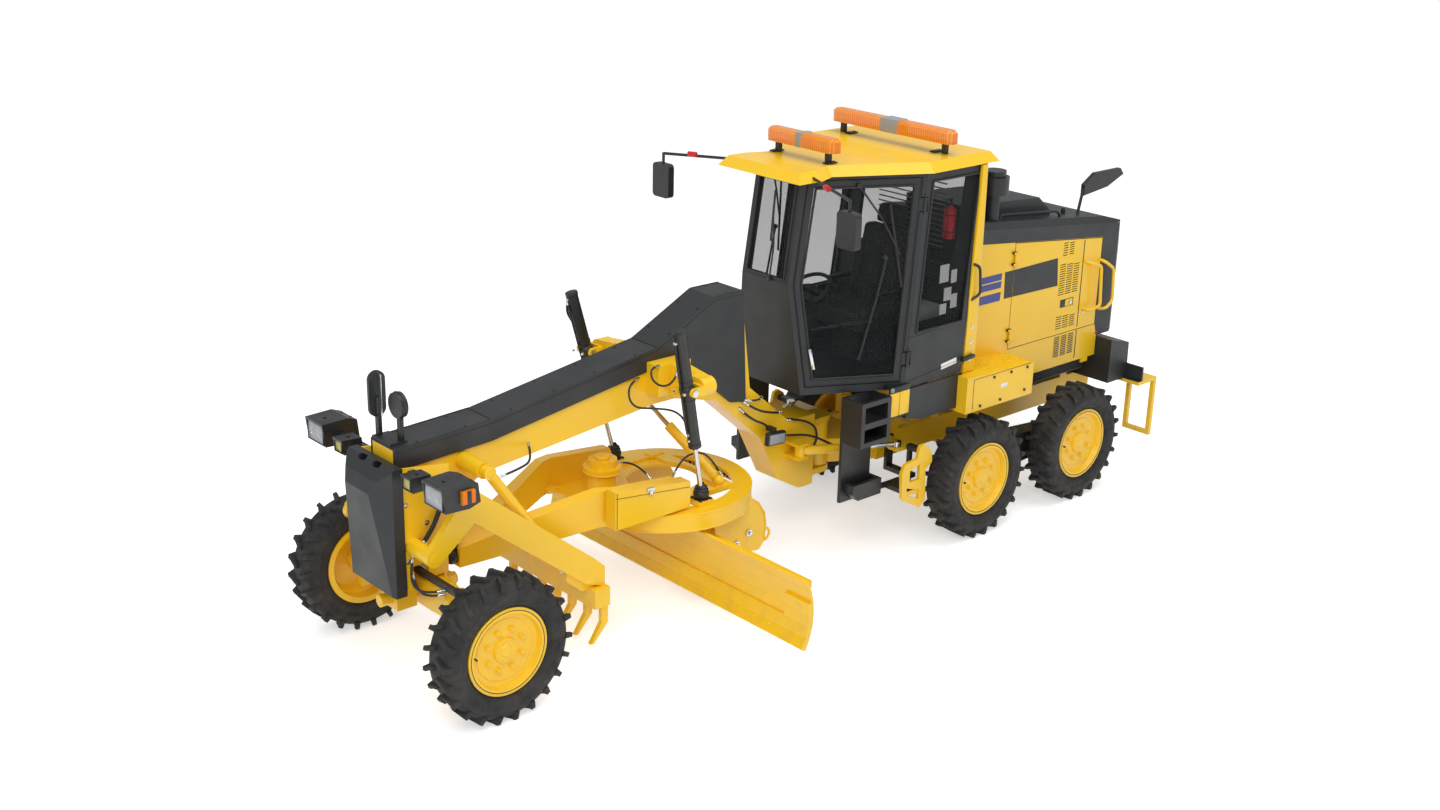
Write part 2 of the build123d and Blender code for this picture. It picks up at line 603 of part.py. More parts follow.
def artic_barrel(side):
    front = (ARTIC_FRONT[0], side * ARTIC_FRONT[1], ARTIC_FRONT[2])
    rear = (ARTIC_REAR[0], side * ARTIC_REAR[1], ARTIC_REAR[2])
    shape = rod(along(front, rear, 24), along(front, rear, 560), 38)
    x, y, z = front
    shape += rod((x, y, z - 44), (x, y, z + 44), 44)
    shape -= rod(along(front, rear, 54), along(front, rear, 570), 18 + FIT)
    return shape - rod((x, y, z - 50), (x, y, z + 50), 22 + FIT)


def artic_rod(side):
    front = (ARTIC_FRONT[0], side * ARTIC_FRONT[1], ARTIC_FRONT[2])
    rear = (ARTIC_REAR[0], side * ARTIC_REAR[1], ARTIC_REAR[2])
    x, y, z = rear
    return rod(along(front, rear, 262), rear, 18) + rod((x, y, z - 24), (x, y, z + 24), 36)


def artic_mounts():
    """Ears on the neck with the barrels' pins."""
    x, y, z = ARTIC_FRONT
    shape = box((x - 50, x + 60), (-y - 50, y + 50), (z - 70, z - 46))
    shape += box((x - 50, x + 60), (-y - 50, y + 50), (z + 46, z + 70))
    for side in (-1, 1):
        shape += rod((x, side * y, z - 70), (x, side * y, z + 70), 22)
    return shape


# Rear frame

def rear_frame():
    half = RAIL_HALF_WIDTH
    rails = both(box((REAR_X, -4300), (half - 60, half), (RAIL_LOW, RAIL_TOP)))
    shape = rails
    for x in ((REAR_X, REAR_X + 60), (-6400, -6340), (-4800, -4740)):
        shape += box(x, (-half, half), (RAIL_LOW, RAIL_TOP))
    neck = [(-4360, -half), (-4360, half), (HITCH_X - 40, 110), (HITCH_X - 40, -110)]
    low, high = HITCH_EAR_LOW + EAR_THICKNESS + 6, HITCH_EAR_TOP - EAR_THICKNESS - 6
    shape += flat_plate(neck, (RAIL_LOW, RAIL_TOP - 12))
    shape += rod((HITCH_X, 0, low), (HITCH_X, 0, high), 92)
    shape -= rod((HITCH_X, 0, low - 5), (HITCH_X, 0, high + 5), HITCH_PIN_RADIUS + FIT)
    # Plates below the articulation rods' eyes
    x, y, z = ARTIC_REAR
    plate = [(-4360, half - 30), (-4360, y + 50), (x + 50, y + 50), (x + 50, y - 50), (-4300, half - 30)]
    shape += both(flat_plate(plate, (z - 24 - SEAT - 24, z - 24 - SEAT)))
    shape += both(box((-4360, -4300), (half - 60, half), (RAIL_TOP - 10, z - 24 - SEAT)))
    # Cross box that carries the tandem cases
    cross = (TANDEM_CENTRE_X - 150, TANDEM_CENTRE_X + 150)
    shape += box(cross, (-TANDEM_INNER, TANDEM_INNER), (TYRE_RADIUS - 95, RAIL_LOW))
    # Posts under the cab and a rear bumper carrier
    shape += both(box((-4560, -4460), (half - 60, half), (RAIL_TOP, CAB_FLOOR_Z)))
    shape += both(box((-5080, -4980), (half - 60, half), (RAIL_TOP, CAB_FLOOR_Z)))
    shape += both(box((-5700, -5600), (half - 60, half), (RAIL_TOP, HOOD_LOW)))
    shape += both(box((-6900, -6800), (half - 60, half), (RAIL_TOP, HOOD_LOW)))
    for x in ((-5700, -5600), (-6900, -6800)):
        shape += both(box(x, (half - 60, HOOD_HALF_WIDTH), (HOOD_LOW - 40, HOOD_LOW)))
    return shape


def tandem(side):
    """Chain case with the stubs of its two wheels."""
    x0 = TANDEM_CENTRE_X
    reach = TANDEM_SPACING / 2
    inner, outer, mid = TANDEM_INNER, TANDEM_OUTER, TYRE_RADIUS
    rear, front = x0 - reach - 150, x0 + reach + 150
    case = [(rear, mid - 85), (rear, mid + 85), (x0 - 200, mid + 135), (x0 + 200, mid + 135)]
    case += [(front, mid + 85), (front, mid - 85), (x0 + 200, mid - 135), (x0 - 200, mid - 135)]
    shape = side_plate(case, sorted((side * inner, side * outer)))
    for end in (-1, 1):
        x = x0 + end * reach
        shape += stub(x, side, outer - 10)
        shape += rod((x, side * (outer - 5), TYRE_RADIUS), (x, side * (TRACK / 2 - 48), TYRE_RADIUS), 84)
    return shape


def counterweight():
    side = [(-7010, RAIL_TOP), (-7010, 1280), (-7290, 1210), (-7300, RAIL_TOP)]
    return side_plate(side, (-720, 720))


def toolbox():
    low = 2 * TYRE_RADIUS + 60
    outline = [(-4750, low), (-4750, low + 320), (-5630, low + 280), (-5630, low)]
    return both(side_plate(outline, (HOOD_HALF_WIDTH, 900)))


HOOP = [(-4030, 525), (-4010, 750), (-4045, 825), (-4195, 845), (-4215, 935), (-4270, 955), (-4330, 915)]
HOOP += [(-4372, 840), (-4378, 776), (-4300, 725), (-4322, 448), (-4253, 394), (-4059, 500)]
HOOP_HOLE = [(-4092, 540), (-4233, 478), (-4239, 560), (-4078, 610)]
HOOP_SLOT = [(-4110, 655), (-4110, 755), (-4230, 790), (-4230, 655)]


def side_steps():
    """Access steps under the left door and step guards by the wheels, on both sides."""
    frame = box((-3900, -3560), (600, 630), (530, 1440)) + box((-3900, -3560), (800, 830), (1060, 1440))
    frame += box((-3900, -3870), (600, 830), (1060, 1440)) + box((-3590, -3560), (600, 830), (1060, 1440))
    frame += box((-3900, -3560), (600, 830), (1060, 1090))
    frame -= box((-3860, -3600), (780, 850), (1100, 1215)) + box((-3860, -3600), (780, 850), (1265, 1400))
    frame += box((-3900, -3560), (600, 830), (1225, 1255))
    frame += side_plate([(-3930, 560), (-3930, 700), (-3600, 700), (-3600, 620), (-3660, 560)], (600, 740))
    frame -= box((-3900, -3640), (640, 700), (600, 710))
    frame += box((-4480, -3560), (600, 630), (530, 570)) + box((-4480, -4400), (330, 630), (530, 570))
    frame += box((-4480, -4400), (330, 360), (530, 840))
    hoop = side_plate(HOOP, (860, 890))
    hoop -= side_plate(HOOP_HOLE, (850, 900)) + side_plate(HOOP_SLOT, (850, 900))
    hoop += box((-4260, -4100), (600, 875), (530, 570)) + box((-4320, -4260), (700, 890), (860, 900))
    hoop += box((-4320, -4260), (600, 720), (530, 570)) + box((-4320, -4280), (690, 720), (530, 900))
    return both(frame + hoop)


def skirts():
    """Dark panels below the cab's sides, from the steps to the tool boxes."""
    low = 2 * TYRE_RADIUS + 95
    top = CAB_FLOOR_Z - 10
    outline = [(-4120, top), (-4800, top), (-4800, low), (-4300, low), (-4120, low + 45)]
    front_edge = [(-4165, top), (-4120, top), (-4120, low + 45), (-4165, low + 34)]
    return both(side_plate(outline, (775, 795)) + side_plate(front_edge, (600, 780)))


def rear_steps():
    guard = box((STEP_REAR_X, STEP_REAR_X + 40), (600, 900), (280, 320))
    guard += box((STEP_REAR_X, STEP_REAR_X + 40), (600, 640), (280, 860)) + box(
        (STEP_REAR_X, STEP_REAR_X + 40), (860, 900), (280, 860))
    guard += box((STEP_REAR_X, -7250), (600, 900), (830, 864))
    guard += box((-7310, -7290), (600, 900), (830, 1000))
    return both(guard)


# Hood

def door_top(x):
    """Upper edge of the hood's doors, a gap below the cap."""
    slope = (CAP_REAR_Z - CAP_FRONT_Z) / (HOOD_REAR_X - HOOD_FRONT_X)
    return CAP_FRONT_Z + slope * (x - HOOD_FRONT_X) - DOOR_GAP


def hood_shell():
    """Upper cap, rear frame and front bulkhead of the engine hood."""
    front_z, rear_z, rise, half = CAP_FRONT_Z, CAP_REAR_Z, CAP_RISE, HOOD_HALF_WIDTH
    cap = [(HOOD_FRONT_X, front_z), (HOOD_FRONT_X, front_z + rise), (HOOD_REAR_X - 40, rear_z + rise)]
    cap += [(-7230, rear_z + rise - 60), (-7290, 2100), (-7290, 1290), (-7190, 1290)]
    cap += [(-7190, rear_z), (HOOD_REAR_X, rear_z)]
    shape = side_plate(cap, (-half, half))
    long_edges = [edge for edge in shape.edges() if abs(edge.center().Y) > half - 1
                  and edge.length > 1500 and edge.center().Z > (front_z + rear_z) / 2 + rise / 2]
    shape = chamfer(long_edges, CAP_BEVEL)
    for side in (-1, 1):
        corner = [(side * (half + 1), -7195), (side * (half + 1), -7300), (side * (half - 60), -7300)]
        shape -= flat_plate([(x, y) for y, x in corner], (1200, 2500))
    shape += box((HOOD_FRONT_X - 40, HOOD_FRONT_X), (-half + 40, half - 40), (HOOD_LOW, front_z))
    post = [(HOOD_REAR_X, HOOD_LOW), (HOOD_REAR_X, rear_z), (-7190, rear_z), (-7190, 1290), (-7000, 1290)]
    post += [(-7000, HOOD_LOW)]
    shape += both(side_plate(post, (half - 30, half)))
    shape += both(box((-7000, HOOD_FRONT_X), (half - 34, half), (HOOD_LOW, DOOR_LOW - DOOR_GAP)))
    door_edge = DOOR_FRONT_X + DOOR_GAP
    panel = [(HOOD_FRONT_X, DOOR_LOW - 20), (HOOD_FRONT_X, front_z), (door_edge, door_top(DOOR_FRONT_X) + 12)]
    panel += [(door_edge, DOOR_LOW - 20)]
    shape += both(side_plate(panel, (half - 34, half)))
    inside = [(HOOD_FRONT_X - 100, front_z + 1), (HOOD_FRONT_X - 100, front_z + rise - 40)]
    inside += [(-7150, rear_z + rise - 60), (-7150, rear_z - 30)]
    shape -= side_plate(inside, (-half + 40, half - 40))
    slots = [box((-7300, -7275), (-380, 380), (z - 14, z + 14)) for z in range(1400, 2050, 64)]
    return shape.cut(*slots)


def hood_hinges(side, part):
    """Two hinges per door: lugs with a pin on the shell, or the barrel and leaf between them."""
    x, y = DOOR_FRONT_X + DOOR_GAP / 2, side * (HOOD_HALF_WIDTH + 14)
    wall = side * HOOD_HALF_WIDTH
    shape = None
    for z in (DOOR_LOW + 130, door_top(DOOR_FRONT_X) - 130):
        if part == "door":
            piece = rod((x, y, z - 40), (x, y, z + 40), 12)
            piece += box((x - 40, x), sorted((wall, y + side * 12)), (z - 40, z + 40))
            piece -= rod((x, y, z - 50), (x, y, z + 50), 7 + FIT)
        else:
            piece = rod((x, y, z - 60), (x, y, z + 60), 7)
            for low, high in ((z - 60, z - 41), (z + 41, z + 60)):
                piece += rod((x, y, low), (x, y, high), 12)
                piece += box((x, x + 40), sorted((wall, y + side * 12)), (low, high))
        shape = piece if shape is None else shape + piece
    return shape


# Louvres of a hood door: rear end, front end, lowest slot, highest slot, slots
LOUVRES = (
    (-6450, -6385, 2150, 2262, 6),
    (-6540, -6475, 2150, 2254, 6),
    (-6445, -6360, 1785, 2065, 14),
    (-6545, -6460, 1785, 2055, 14),
    (-6640, -6560, 1785, 2045, 13),
    (-6445, -6365, 1465, 1575, 6),
    (-6545, -6460, 1465, 1570, 6),
    (-6640, -6560, 1465, 1562, 6),
)


def louvre_slots(side):
    """Slots cut in the outer face of a hood door."""
    outer = side * HOOD_HALF_WIDTH
    depth = sorted((outer - side * LOUVRE_DEPTH, outer + side * 5))
    slots = []
    for rear, front, low, high, count in LOUVRES:
        for index in range(count):
            z = low + (high - low) * index / (count - 1)
            slots.append(box((rear, front), depth, (z - 4, z + 4)))
    return slots


def hood_door(side):
    outline = [(DOOR_FRONT_X, DOOR_LOW), (DOOR_FRONT_X, door_top(DOOR_FRONT_X))]
    outline += [(HOOD_REAR_X + DOOR_GAP, door_top(HOOD_REAR_X)), (HOOD_REAR_X + DOOR_GAP, DOOR_LOW)]
    door = side_plate(outline, sorted((side * (HOOD_HALF_WIDTH - 34), side * HOOD_HALF_WIDTH)))
    return door.cut(*louvre_slots(side)) + hood_hinges(side, "door")


def hump():
    outline = [(-5230, 2628), (-5230, 2720), (-6250, 2660), (-6420, 2520), (-6420, 2460)]
    above = [(HOOD_FRONT_X, CAP_FRONT_Z + CAP_RISE), (HOOD_REAR_X - 40, CAP_REAR_Z + CAP_RISE)]
    above += [(HOOD_REAR_X - 40, 3000), (HOOD_FRONT_X, 3000)]
    return side_plate([(-5230, 2500)] + outline, (-330, 330)) & side_plate(above, (-340, 340))


def air_intake():
    """Round pre-cleaner on the cap, and a mirror on a stalk at its rear."""
    x, y, top = INTAKE
    shape = rod((x, y, CAP_FRONT_Z + 60), (x, y, top - 190), 62)
    shape += rod((x, y, top - 200), (x, y, top - 50), 130)
    shape += rod((x, y, top - 50), (x, y, top), 100)
    stalk = rod((-6780, 350, CAP_REAR_Z + 100), (-6860, 350, 2660), 14)
    outline = [(-6850, 2600), (-6850, 2700), (-7000, 2790), (-7380, 2790), (-7430, 2730), (-7200, 2640)]
    return shape + stalk + side_plate(outline, (330, 370))


def engine():
    return box((-6700, -5500), (-260, 260), (RAIL_TOP, 1900))


# Cab

def cab_corners(z):
    """Plan corners of the cab at a height: front, door post and rear."""
    t = (z - CAB_FLOOR_Z) / (CAB_TOP_Z - CAB_FLOOR_Z)
    side_y = 780 - 45 * t
    if z <= CAB_SILL_Z:
        front_x = -3310 + 75 * (z - CAB_FLOOR_Z) / (CAB_SILL_Z - CAB_FLOOR_Z)
    else:
        front_x = -3235 - 125 * (z - CAB_SILL_Z) / (CAB_TOP_Z - CAB_SILL_Z)
    front_y = 780 - (0.85 * (front_x + 4100) + 0.132 * (z - 1480)) / 1.651
    post_x = -4100 + (1.651 * (780 - side_y) - 0.132 * (z - 1480)) / 0.85
    rear_x = -4790 - 210 * t
    return [(front_x, front_y), (post_x, side_y), (rear_x, side_y)]


def cab_plan(z, inset):
    right = cab_corners(z)
    outline = right + [(x, -y) for x, y in reversed(right)]
    face = make_face(Polyline(*outline, close=True))
    if inset:
        face = offset(face, amount=-inset, kind=Kind.INTERSECTION)
    return Pos(0, 0, z) * face


def cab_block(low, high, inset):
    levels = [low] + [z for z in (CAB_SILL_Z,) if low < z < high] + [high]
    shape = None
    for first, second in zip(levels, levels[1:]):
        part = loft([cab_plan(first, inset), cab_plan(second, inset)], ruled=True)
        shape = part if shape is None else shape + part
    return shape


def door_plane():
    """Plane on the left door's face: its x runs to the rear, its y up."""
    front, post = cab_corners(CAB_FLOOR_Z)[:2]
    upper = cab_corners(CAB_TOP_Z)[1]
    origin = Vector(front[0], front[1], CAB_FLOOR_Z)
    x_dir = (Vector(post[0], post[1], CAB_FLOOR_Z) - origin).normalized()
    rise = Vector(upper[0], upper[1], CAB_TOP_Z) - Vector(post[0], post[1], CAB_FLOOR_Z)
    return Plane(origin=origin, x_dir=x_dir, z_dir=x_dir.cross(rise))


def on_door(point):
    """A 3-D point's place on the door's plane."""
    local = door_plane().to_local_coords(Vector(*point))
    return (local.X, local.Y)


def door_outline(inset):
    marks = []
    for z, corner, grow in ((CAB_FLOOR_Z + 60, 0, 1), (CAB_SILL_Z, 0, 1), (CAB_TOP_Z - 30, 0, 1),
                            (CAB_TOP_Z - 30, 1, -1), (CAB_FLOOR_Z + 60, 1, -1)):
        x, y = cab_corners(z)[corner]
        u, v = on_door((x, y, z))
        marks.append((u + grow * 40, v))
    face = make_face(Polyline(*marks, close=True))
    return offset(face, amount=-inset, kind=Kind.INTERSECTION) if inset else face


def door_prism(inset, depth):
    return extrude(door_plane() * door_outline(inset), amount=depth, both=True)


def hinge_line(z):
    """Point on the left door post's outer corner."""
    x, y = cab_corners(z)[1]
    return Vector(x, y, z)


def door_hinges(part):
    """Two hinges on the left door post: the cut and pin of the frame, or the door's barrel and leaf."""
    frame = door_plane()
    rise = (hinge_line(3000) - hinge_line(1600)).normalized()
    shape = None
    for z in HINGE_HEIGHTS:
        middle = hinge_line(z)
        plane = Plane(origin=middle, x_dir=frame.x_dir * -1, z_dir=frame.z_dir)
        if part == "cut":
            piece = plane * Pos(15, 0, -20) * Box(90, 124, 70)
        elif part == "pin":
            piece = rod(tuple(middle - rise * 85), tuple(middle + rise * 85), 8)
        else:
            piece = rod(tuple(middle - rise * 55), tuple(middle + rise * 55), 16)
            piece += plane * Pos(36, 0, -8) * Box(72, 100, 16)
            piece -= rod(tuple(middle - rise * 60), tuple(middle + rise * 60), 8 + FIT)
        shape = piece if shape is None else shape + piece
    return shape


def cab_shell():
    return cab_block(CAB_FLOOR_Z, CAB_TOP_Z, 0) - cab_block(CAB_FLOOR_Z - 1, CAB_TOP_Z + 1, CAB_WALL)


def side_window(low, high):
    post, rear = cab_corners(low)[1:]
    post_top, rear_top = cab_corners(high)[1:]
    points = [(post[0] - 70, low), (rear[0] + 70, low), (rear_top[0] + 80, high), (post_top[0] - 70, high)]
    return side_plate(points, (600, 900))


def front_window(low, high):
    half_low, half_high = cab_corners(low)[0][1] - 50, cab_corners(high)[0][1] - 50
    return cross_plate([(-half_low, low), (half_low, low), (half_high, high), (-half_high, high)], (-3500, -3100))


def rear_window(low, high):
    return box((-5200, -4700), (-560, 560), (low, high))


def openings():
    cuts = both(side_window(CAB_SILL_Z - 450, CAB_TOP_Z - 70)) + front_window(CAB_SILL_Z + 30, CAB_TOP_Z - 60)
    return cuts + rear_window(CAB_SILL_Z - 50, CAB_TOP_Z - 90)


def cab_frame():
    shape = cab_shell() - both(door_prism(0, 120)) - openings()
    return shape - both(door_hinges("cut")) + both(door_hinges("pin"))


def cab_floor():
    return cab_block(CAB_FLOOR_Z, CAB_FLOOR_Z + 30, CAB_WALL)


def glass_wall():
    """Thin wall just inside the cab's outer faces."""
    outer = cab_block(CAB_FLOOR_Z + 5, CAB_TOP_Z - 5, 12)
    return outer - cab_block(CAB_FLOOR_Z, CAB_TOP_Z, 12 + GLASS_THICKNESS)


def cab_glass():
    return glass_wall() & openings()


def cab_door(side):
    shape = cab_shell() & door_prism(DOOR_GAP, 100)
    shape = shape - door_prism(62, 120) + door_hinges("door")
    return shape if side > 0 else mirrored(shape)


def door_glass(side):
    shape = glass_wall() & door_prism(62, 100)
    return shape if side > 0 else mirrored(shape)


def cab_roof():
    right = [(-3124, 465), (-3360, 470), (-3540, 400), (-4290, 780), (-5110, 770)]
    outline = right + [(x, -y) for x, y in reversed(right)]
    base = Pos(0, 0, CAB_TOP_Z) * make_face(Polyline(*outline, close=True))
    inner = Pos(0, 0, CAB_TOP_Z + ROOF_RISE) * offset(make_face(Polyline(*outline, close=True)), amount=-60,
                                                      kind=Kind.INTERSECTION)
    return loft([base, inner], ruled=True)


def light_bars():
    """Two bars with rounded ends, on posts."""
    shape = None
    for x, half in ((-3610, 380), (-4650, 670)):
        top = CAB_TOP_Z + ROOF_RISE
        plan = [(x - 65, -half + 45), (x - 65, half - 45), (x - 30, half), (x + 30, half), (x + 65, half - 45)]
        plan += [(x + 65, -half + 45), (x + 30, -half), (x - 30, -half)]
        part = flat_plate(plan, (top + 90, top + 200))
        part = chamfer(part.faces().sort_by(Axis.Z)[-1].edges(), 24)
        part += both(box((x - 20, x + 20), (half - 120, half - 80), (top, top + 95)))
        shape = part if shape is None else shape + part
    return shape


def seat():
    base = CAB_FLOOR_Z + 30
    shape = box((-4560, -4260), (-200, 200), (base, base + 300))
    shape += box((-4620, -4120), (-250, 250), (base + 300, base + 440))
    return shape + side_plate([(-4520, base + 440), (-4620, base + 440), (-4800 + 60, base + 1060),
                               (-4800 + 150, base + 1060)], (-240, 240))


def console():
    base = CAB_FLOOR_Z + 30
    shape = side_plate([(-3480, base), (-3600, base), (-3760, base + 620), (-3620, base + 640)], (-110, 110))
    wheel = Pos(-3740, 0, base + 700) * Rot(0, 30, 0) * Torus(180, 16)
    column = rod((-3690, 0, base + 600), (-3740, 0, base + 700), 24)
    spokes = Pos(-3740, 0, base + 700) * Rot(0, 30, 0) * Box(40, 350, 12)
    return shape + wheel + column + spokes


def mirror_arms():
    top = CAB_TOP_Z
    shape = rod((-3300, 420, top + 30), (-3060, 1060, top), 12)
    shape += rod((-3060, 1060, top + 6), (-3060, 1060, top - 200), 12)
    head = box((-3090, -3030), (960, 1160), (top - 360, top - 80))
    head = fillet(head.edges().filter_by(Axis.X), 34)
    return both(shape + head)


def lamp_bar():
    """Bar over the nose with hooded lamp housings at its ends, and fog lamps nearer the middle."""
    shape = box((215, 265), (POST_HALF_WIDTH, 800), (1625, 1665))
    fog = side_plate([(215, 1605), (230, 1705), (390, 1710), (370, 1600)], (380, 500))
    shape += fog - box((362, 395), (394, 486), (1615, 1694))
    hood = side_plate([(95, 1600), (110, 1735), (180, 1760), (390, 1752), (368, 1580), (180, 1572)], (640, 880))
    shape += hood - side_plate([(352, 1594), (366, 1736), (420, 1736), (420, 1594)], (656, 864))
    shape += box((150, 250), (875, 905), (1620, 1710))
    return both(shape)


def cover_height(x):
    """Height of the cover's top at x, near the nose."""
    (x0, z0), (x1, z1) = COVER_TOP[:2]
    return z0 + (z1 - z0) * (x - x0) / (x1 - x0)


def nose_mirrors():
    foot = [(285, cover_height(285)), (150, cover_height(150)), (150, 1805), (285, 1805)]
    shape = side_plate(foot, (-145, 90))
    shape += rod((240, -120, 1800), (240, -120, 2080), 16) + rod((180, 60, 1800), (180, 60, 2060), 16)
    shape += Pos(240, -120, 2100) * Rot(90, 0, 90) * extrude(SlotOverall(330, 130), 24)
    return shape + rod((215, 60, 2060), (165, 60, 2060), 90)


# Every node with its shape

def add_sides(table, name, maker):
    for word, side in (("left", 1), ("right", -1)):
        table[f"{name}_{word}"] = maker(side)


def build():
    nodes = {}
    reach = TANDEM_SPACING / 2
    axles = (("front", 0), ("mid", TANDEM_CENTRE_X + reach), ("rear", TANDEM_CENTRE_X - reach))
    one_tyre = tyre_shape()
    for axle, x in axles:
        for word, side in (("left", 1), ("right", -1)):
            nodes[f"tyre_{axle}_{word}"] = tyre_at(one_tyre, x, side)
            nodes[f"rim_{axle}_{word}"] = rim(x, side)
    nodes["front_frame"] = front_frame() + lift_arm() + scarifier_mounts() + artic_mounts() + shift_bracket()
    nodes["frame_cover"] = frame_cover() + nose_mirrors()
    nodes["nose_cover"] = nose_cover()
    nodes["front_axle"] = front_axle()
    nodes["lean_bar"] = lean_bar()
    nodes["draft_ball"] = draft_ball()
    nodes["drawbar"] = drawbar() + valve_box() + circle_motor()
    nodes["circle"] = circle()
    nodes["tilt_carrier"] = tilt_carrier()
    nodes["moldboard"] = moldboard()
    nodes["shift_hanger"] = shift_hanger()
    nodes["shift_rod"] = shift_rod()
    nodes["shift_barrel"] = shift_barrel()
    nodes["scarifier"] = scarifier() + scarifier_teeth()
    nodes["scarifier_barrel"] = scarifier_barrel()
    nodes["scarifier_rod"] = scarifier_rod()
    nodes["lamp_bar"] = lamp_bar()
    nodes["rear_frame"] = rear_frame()
    nodes["tandem_cases"] = tandem(1) + tandem(-1)
    nodes["counterweight"] = counterweight() + rear_steps()
    nodes["side_steps"] = side_steps() + toolbox() + skirts()
    nodes["hood_shell"] = hood_shell() + hump() + air_intake()
    nodes["hood_shell"] += hood_hinges(1, "shell") + hood_hinges(-1, "shell")
    nodes["engine"] = engine()
    nodes["cab_frame"] = cab_frame()
    nodes["cab_glass"] = cab_glass()
    nodes["cab_roof"] = cab_roof() + mirror_arms()
    nodes["light_bars"] = light_bars()
    nodes["cab_interior"] = cab_floor() + seat() + console()
    pairs = (("lean_bracket", lean_bracket), ("knuckle", knuckle), ("yoke", yoke),
             ("lift_barrel", lift_barrel), ("lift_rod", lift_rod), ("artic_barrel", artic_barrel),
             ("artic_rod", artic_rod), ("hood_door", hood_door), ("cab_door", cab_door),
             ("door_glass", door_glass))
    for name, maker in pairs:
        add_sides(nodes, name, maker)
    return nodes


os.makedirs("parts", exist_ok=True)
for node, shape in build().items():
    export_step(shape.moved(ROW_SHIFT), f"parts/{node}.step")
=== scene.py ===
import json
from math import cos, pi, radians, sin

import bpy
from mathutils import Matrix, Vector


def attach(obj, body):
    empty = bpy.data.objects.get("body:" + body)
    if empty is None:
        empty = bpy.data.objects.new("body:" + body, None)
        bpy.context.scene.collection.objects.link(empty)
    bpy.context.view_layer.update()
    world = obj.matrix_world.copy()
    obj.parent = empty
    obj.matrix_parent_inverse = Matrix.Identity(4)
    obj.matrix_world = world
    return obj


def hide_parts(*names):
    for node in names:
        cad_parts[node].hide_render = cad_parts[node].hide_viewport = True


# A motor grader. Lengths are in metres. Pieces are laid out from the front axle, as in the part's
# source: x forward, y to the machine's left, z up. SHIFT then takes them into the shared frame.
SHIFT = Vector((3.517, -0.22, 0.0))

# Camera
CAMERA_PLACE = Vector((5.894, 9.584, 6.032)) + SHIFT
CAMERA_YAW, CAMERA_PITCH, CAMERA_ROLL = radians(-132.17), radians(-19.79), radians(1.37)
CAMERA_LENS = 43.03
SENSOR_WIDTH = 36

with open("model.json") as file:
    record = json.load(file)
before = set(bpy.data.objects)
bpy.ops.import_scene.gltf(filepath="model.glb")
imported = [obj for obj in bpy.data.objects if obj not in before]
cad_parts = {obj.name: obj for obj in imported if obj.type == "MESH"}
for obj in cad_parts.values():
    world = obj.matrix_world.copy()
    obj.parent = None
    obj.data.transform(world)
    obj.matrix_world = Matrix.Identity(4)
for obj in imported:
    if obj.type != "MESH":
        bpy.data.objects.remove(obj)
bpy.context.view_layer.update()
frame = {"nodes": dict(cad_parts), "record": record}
nodes = frame["nodes"]


# Materials

class Value:
    """A number inside a material. Arithmetic on it adds Math nodes."""

    def __init__(self, paint, socket):
        self.paint = paint
        self.socket = socket

    def math(self, operation, *others):
        return self.paint.node("ShaderNodeMath", {"operation": operation}, self, *others)

    def __add__(self, other):
        return self.math("ADD", other)

    def __radd__(self, other):
        return self.math("ADD", other)

    def __sub__(self, other):
        return self.math("SUBTRACT", other)

    def __rsub__(self, other):
        return self.paint.node("ShaderNodeMath", {"operation": "SUBTRACT"}, other, self)

    def __mul__(self, other):
        return self.math("MULTIPLY", other)

    def __rmul__(self, other):
        return self.math("MULTIPLY", other)

    def wave(self):
        return self.math("SINE")

    def ramp(self, low, high, start=0.0, end=1.0):
        """The value taken from the range low to high into the range start to end, and kept there."""
        return self.paint.node("ShaderNodeMapRange", {"clamp": True}, self, low, high, start, end)


class Paint:
    """A material on the principled shader, built from plain values and nodes."""

    def __init__(self, name, colour, roughness, metallic=0.0, **fixed):
        self.material = bpy.data.materials.new(name)
        self.material.use_nodes = True
        self.tree = self.material.node_tree
        self.shader = self.tree.nodes["Principled BSDF"]
        self.set("Base Color", (*colour, 1.0))
        self.set("Roughness", roughness)
        self.set("Metallic", metallic)
        for name, value in fixed.items():
            self.set(name.replace("_", " "), value)

    def set(self, socket, value):
        """Sets a shader's socket to a number, a colour or another node's value."""
        self.fill(self.shader.inputs[socket], value)

    def fill(self, socket, value):
        if isinstance(value, Value):
            self.tree.links.new(value.socket, socket)
        elif value is not None:
            socket.default_value = value

    def node(self, kind, settings, *inputs, output=0):
        """A node of that type: its settings first, then its sockets in order."""
        made = self.tree.nodes.new(kind)
        for name, value in settings.items():
            setattr(made, name, value)
        for socket, value in zip(made.inputs, inputs):
            self.fill(socket, value)
        return Value(self, made.outputs[output])

    def place(self):
        return self.node("ShaderNodeTexCoord", {}, output="Object")

    def axes(self):
        """The x, y and z of each point of the piece."""
        split = self.node("ShaderNodeSeparateXYZ", {}, self.place()).socket.node
        return [Value(self, socket) for socket in split.outputs]

    def noise(self, scale, detail=3.0, stretch=(1.0, 1.0, 1.0)):
        point = self.node("ShaderNodeMapping", {}, self.place(), None, None, stretch)
        return self.node("ShaderNodeTexNoise", {}, point, None, scale, detail)

    def mix(self, mask, first, second):
        """Colour that goes from first to second as mask goes from 0 to 1."""
        made = self.tree.nodes.new("ShaderNodeMix")
        made.data_type = "RGBA"
        self.fill(made.inputs["Factor"], mask)
        for socket, colour in zip([s for s in made.inputs if s.type == "RGBA"], (first, second)):
            self.fill(socket, colour if isinstance(colour, Value) else (*colour, 1.0))
        return Value(self, next(s for s in made.outputs if s.type == "RGBA"))

    def bump(self, height, strength, distance):
        self.set("Normal", self.node("ShaderNodeBump", {}, strength, distance, None, height))
        return self


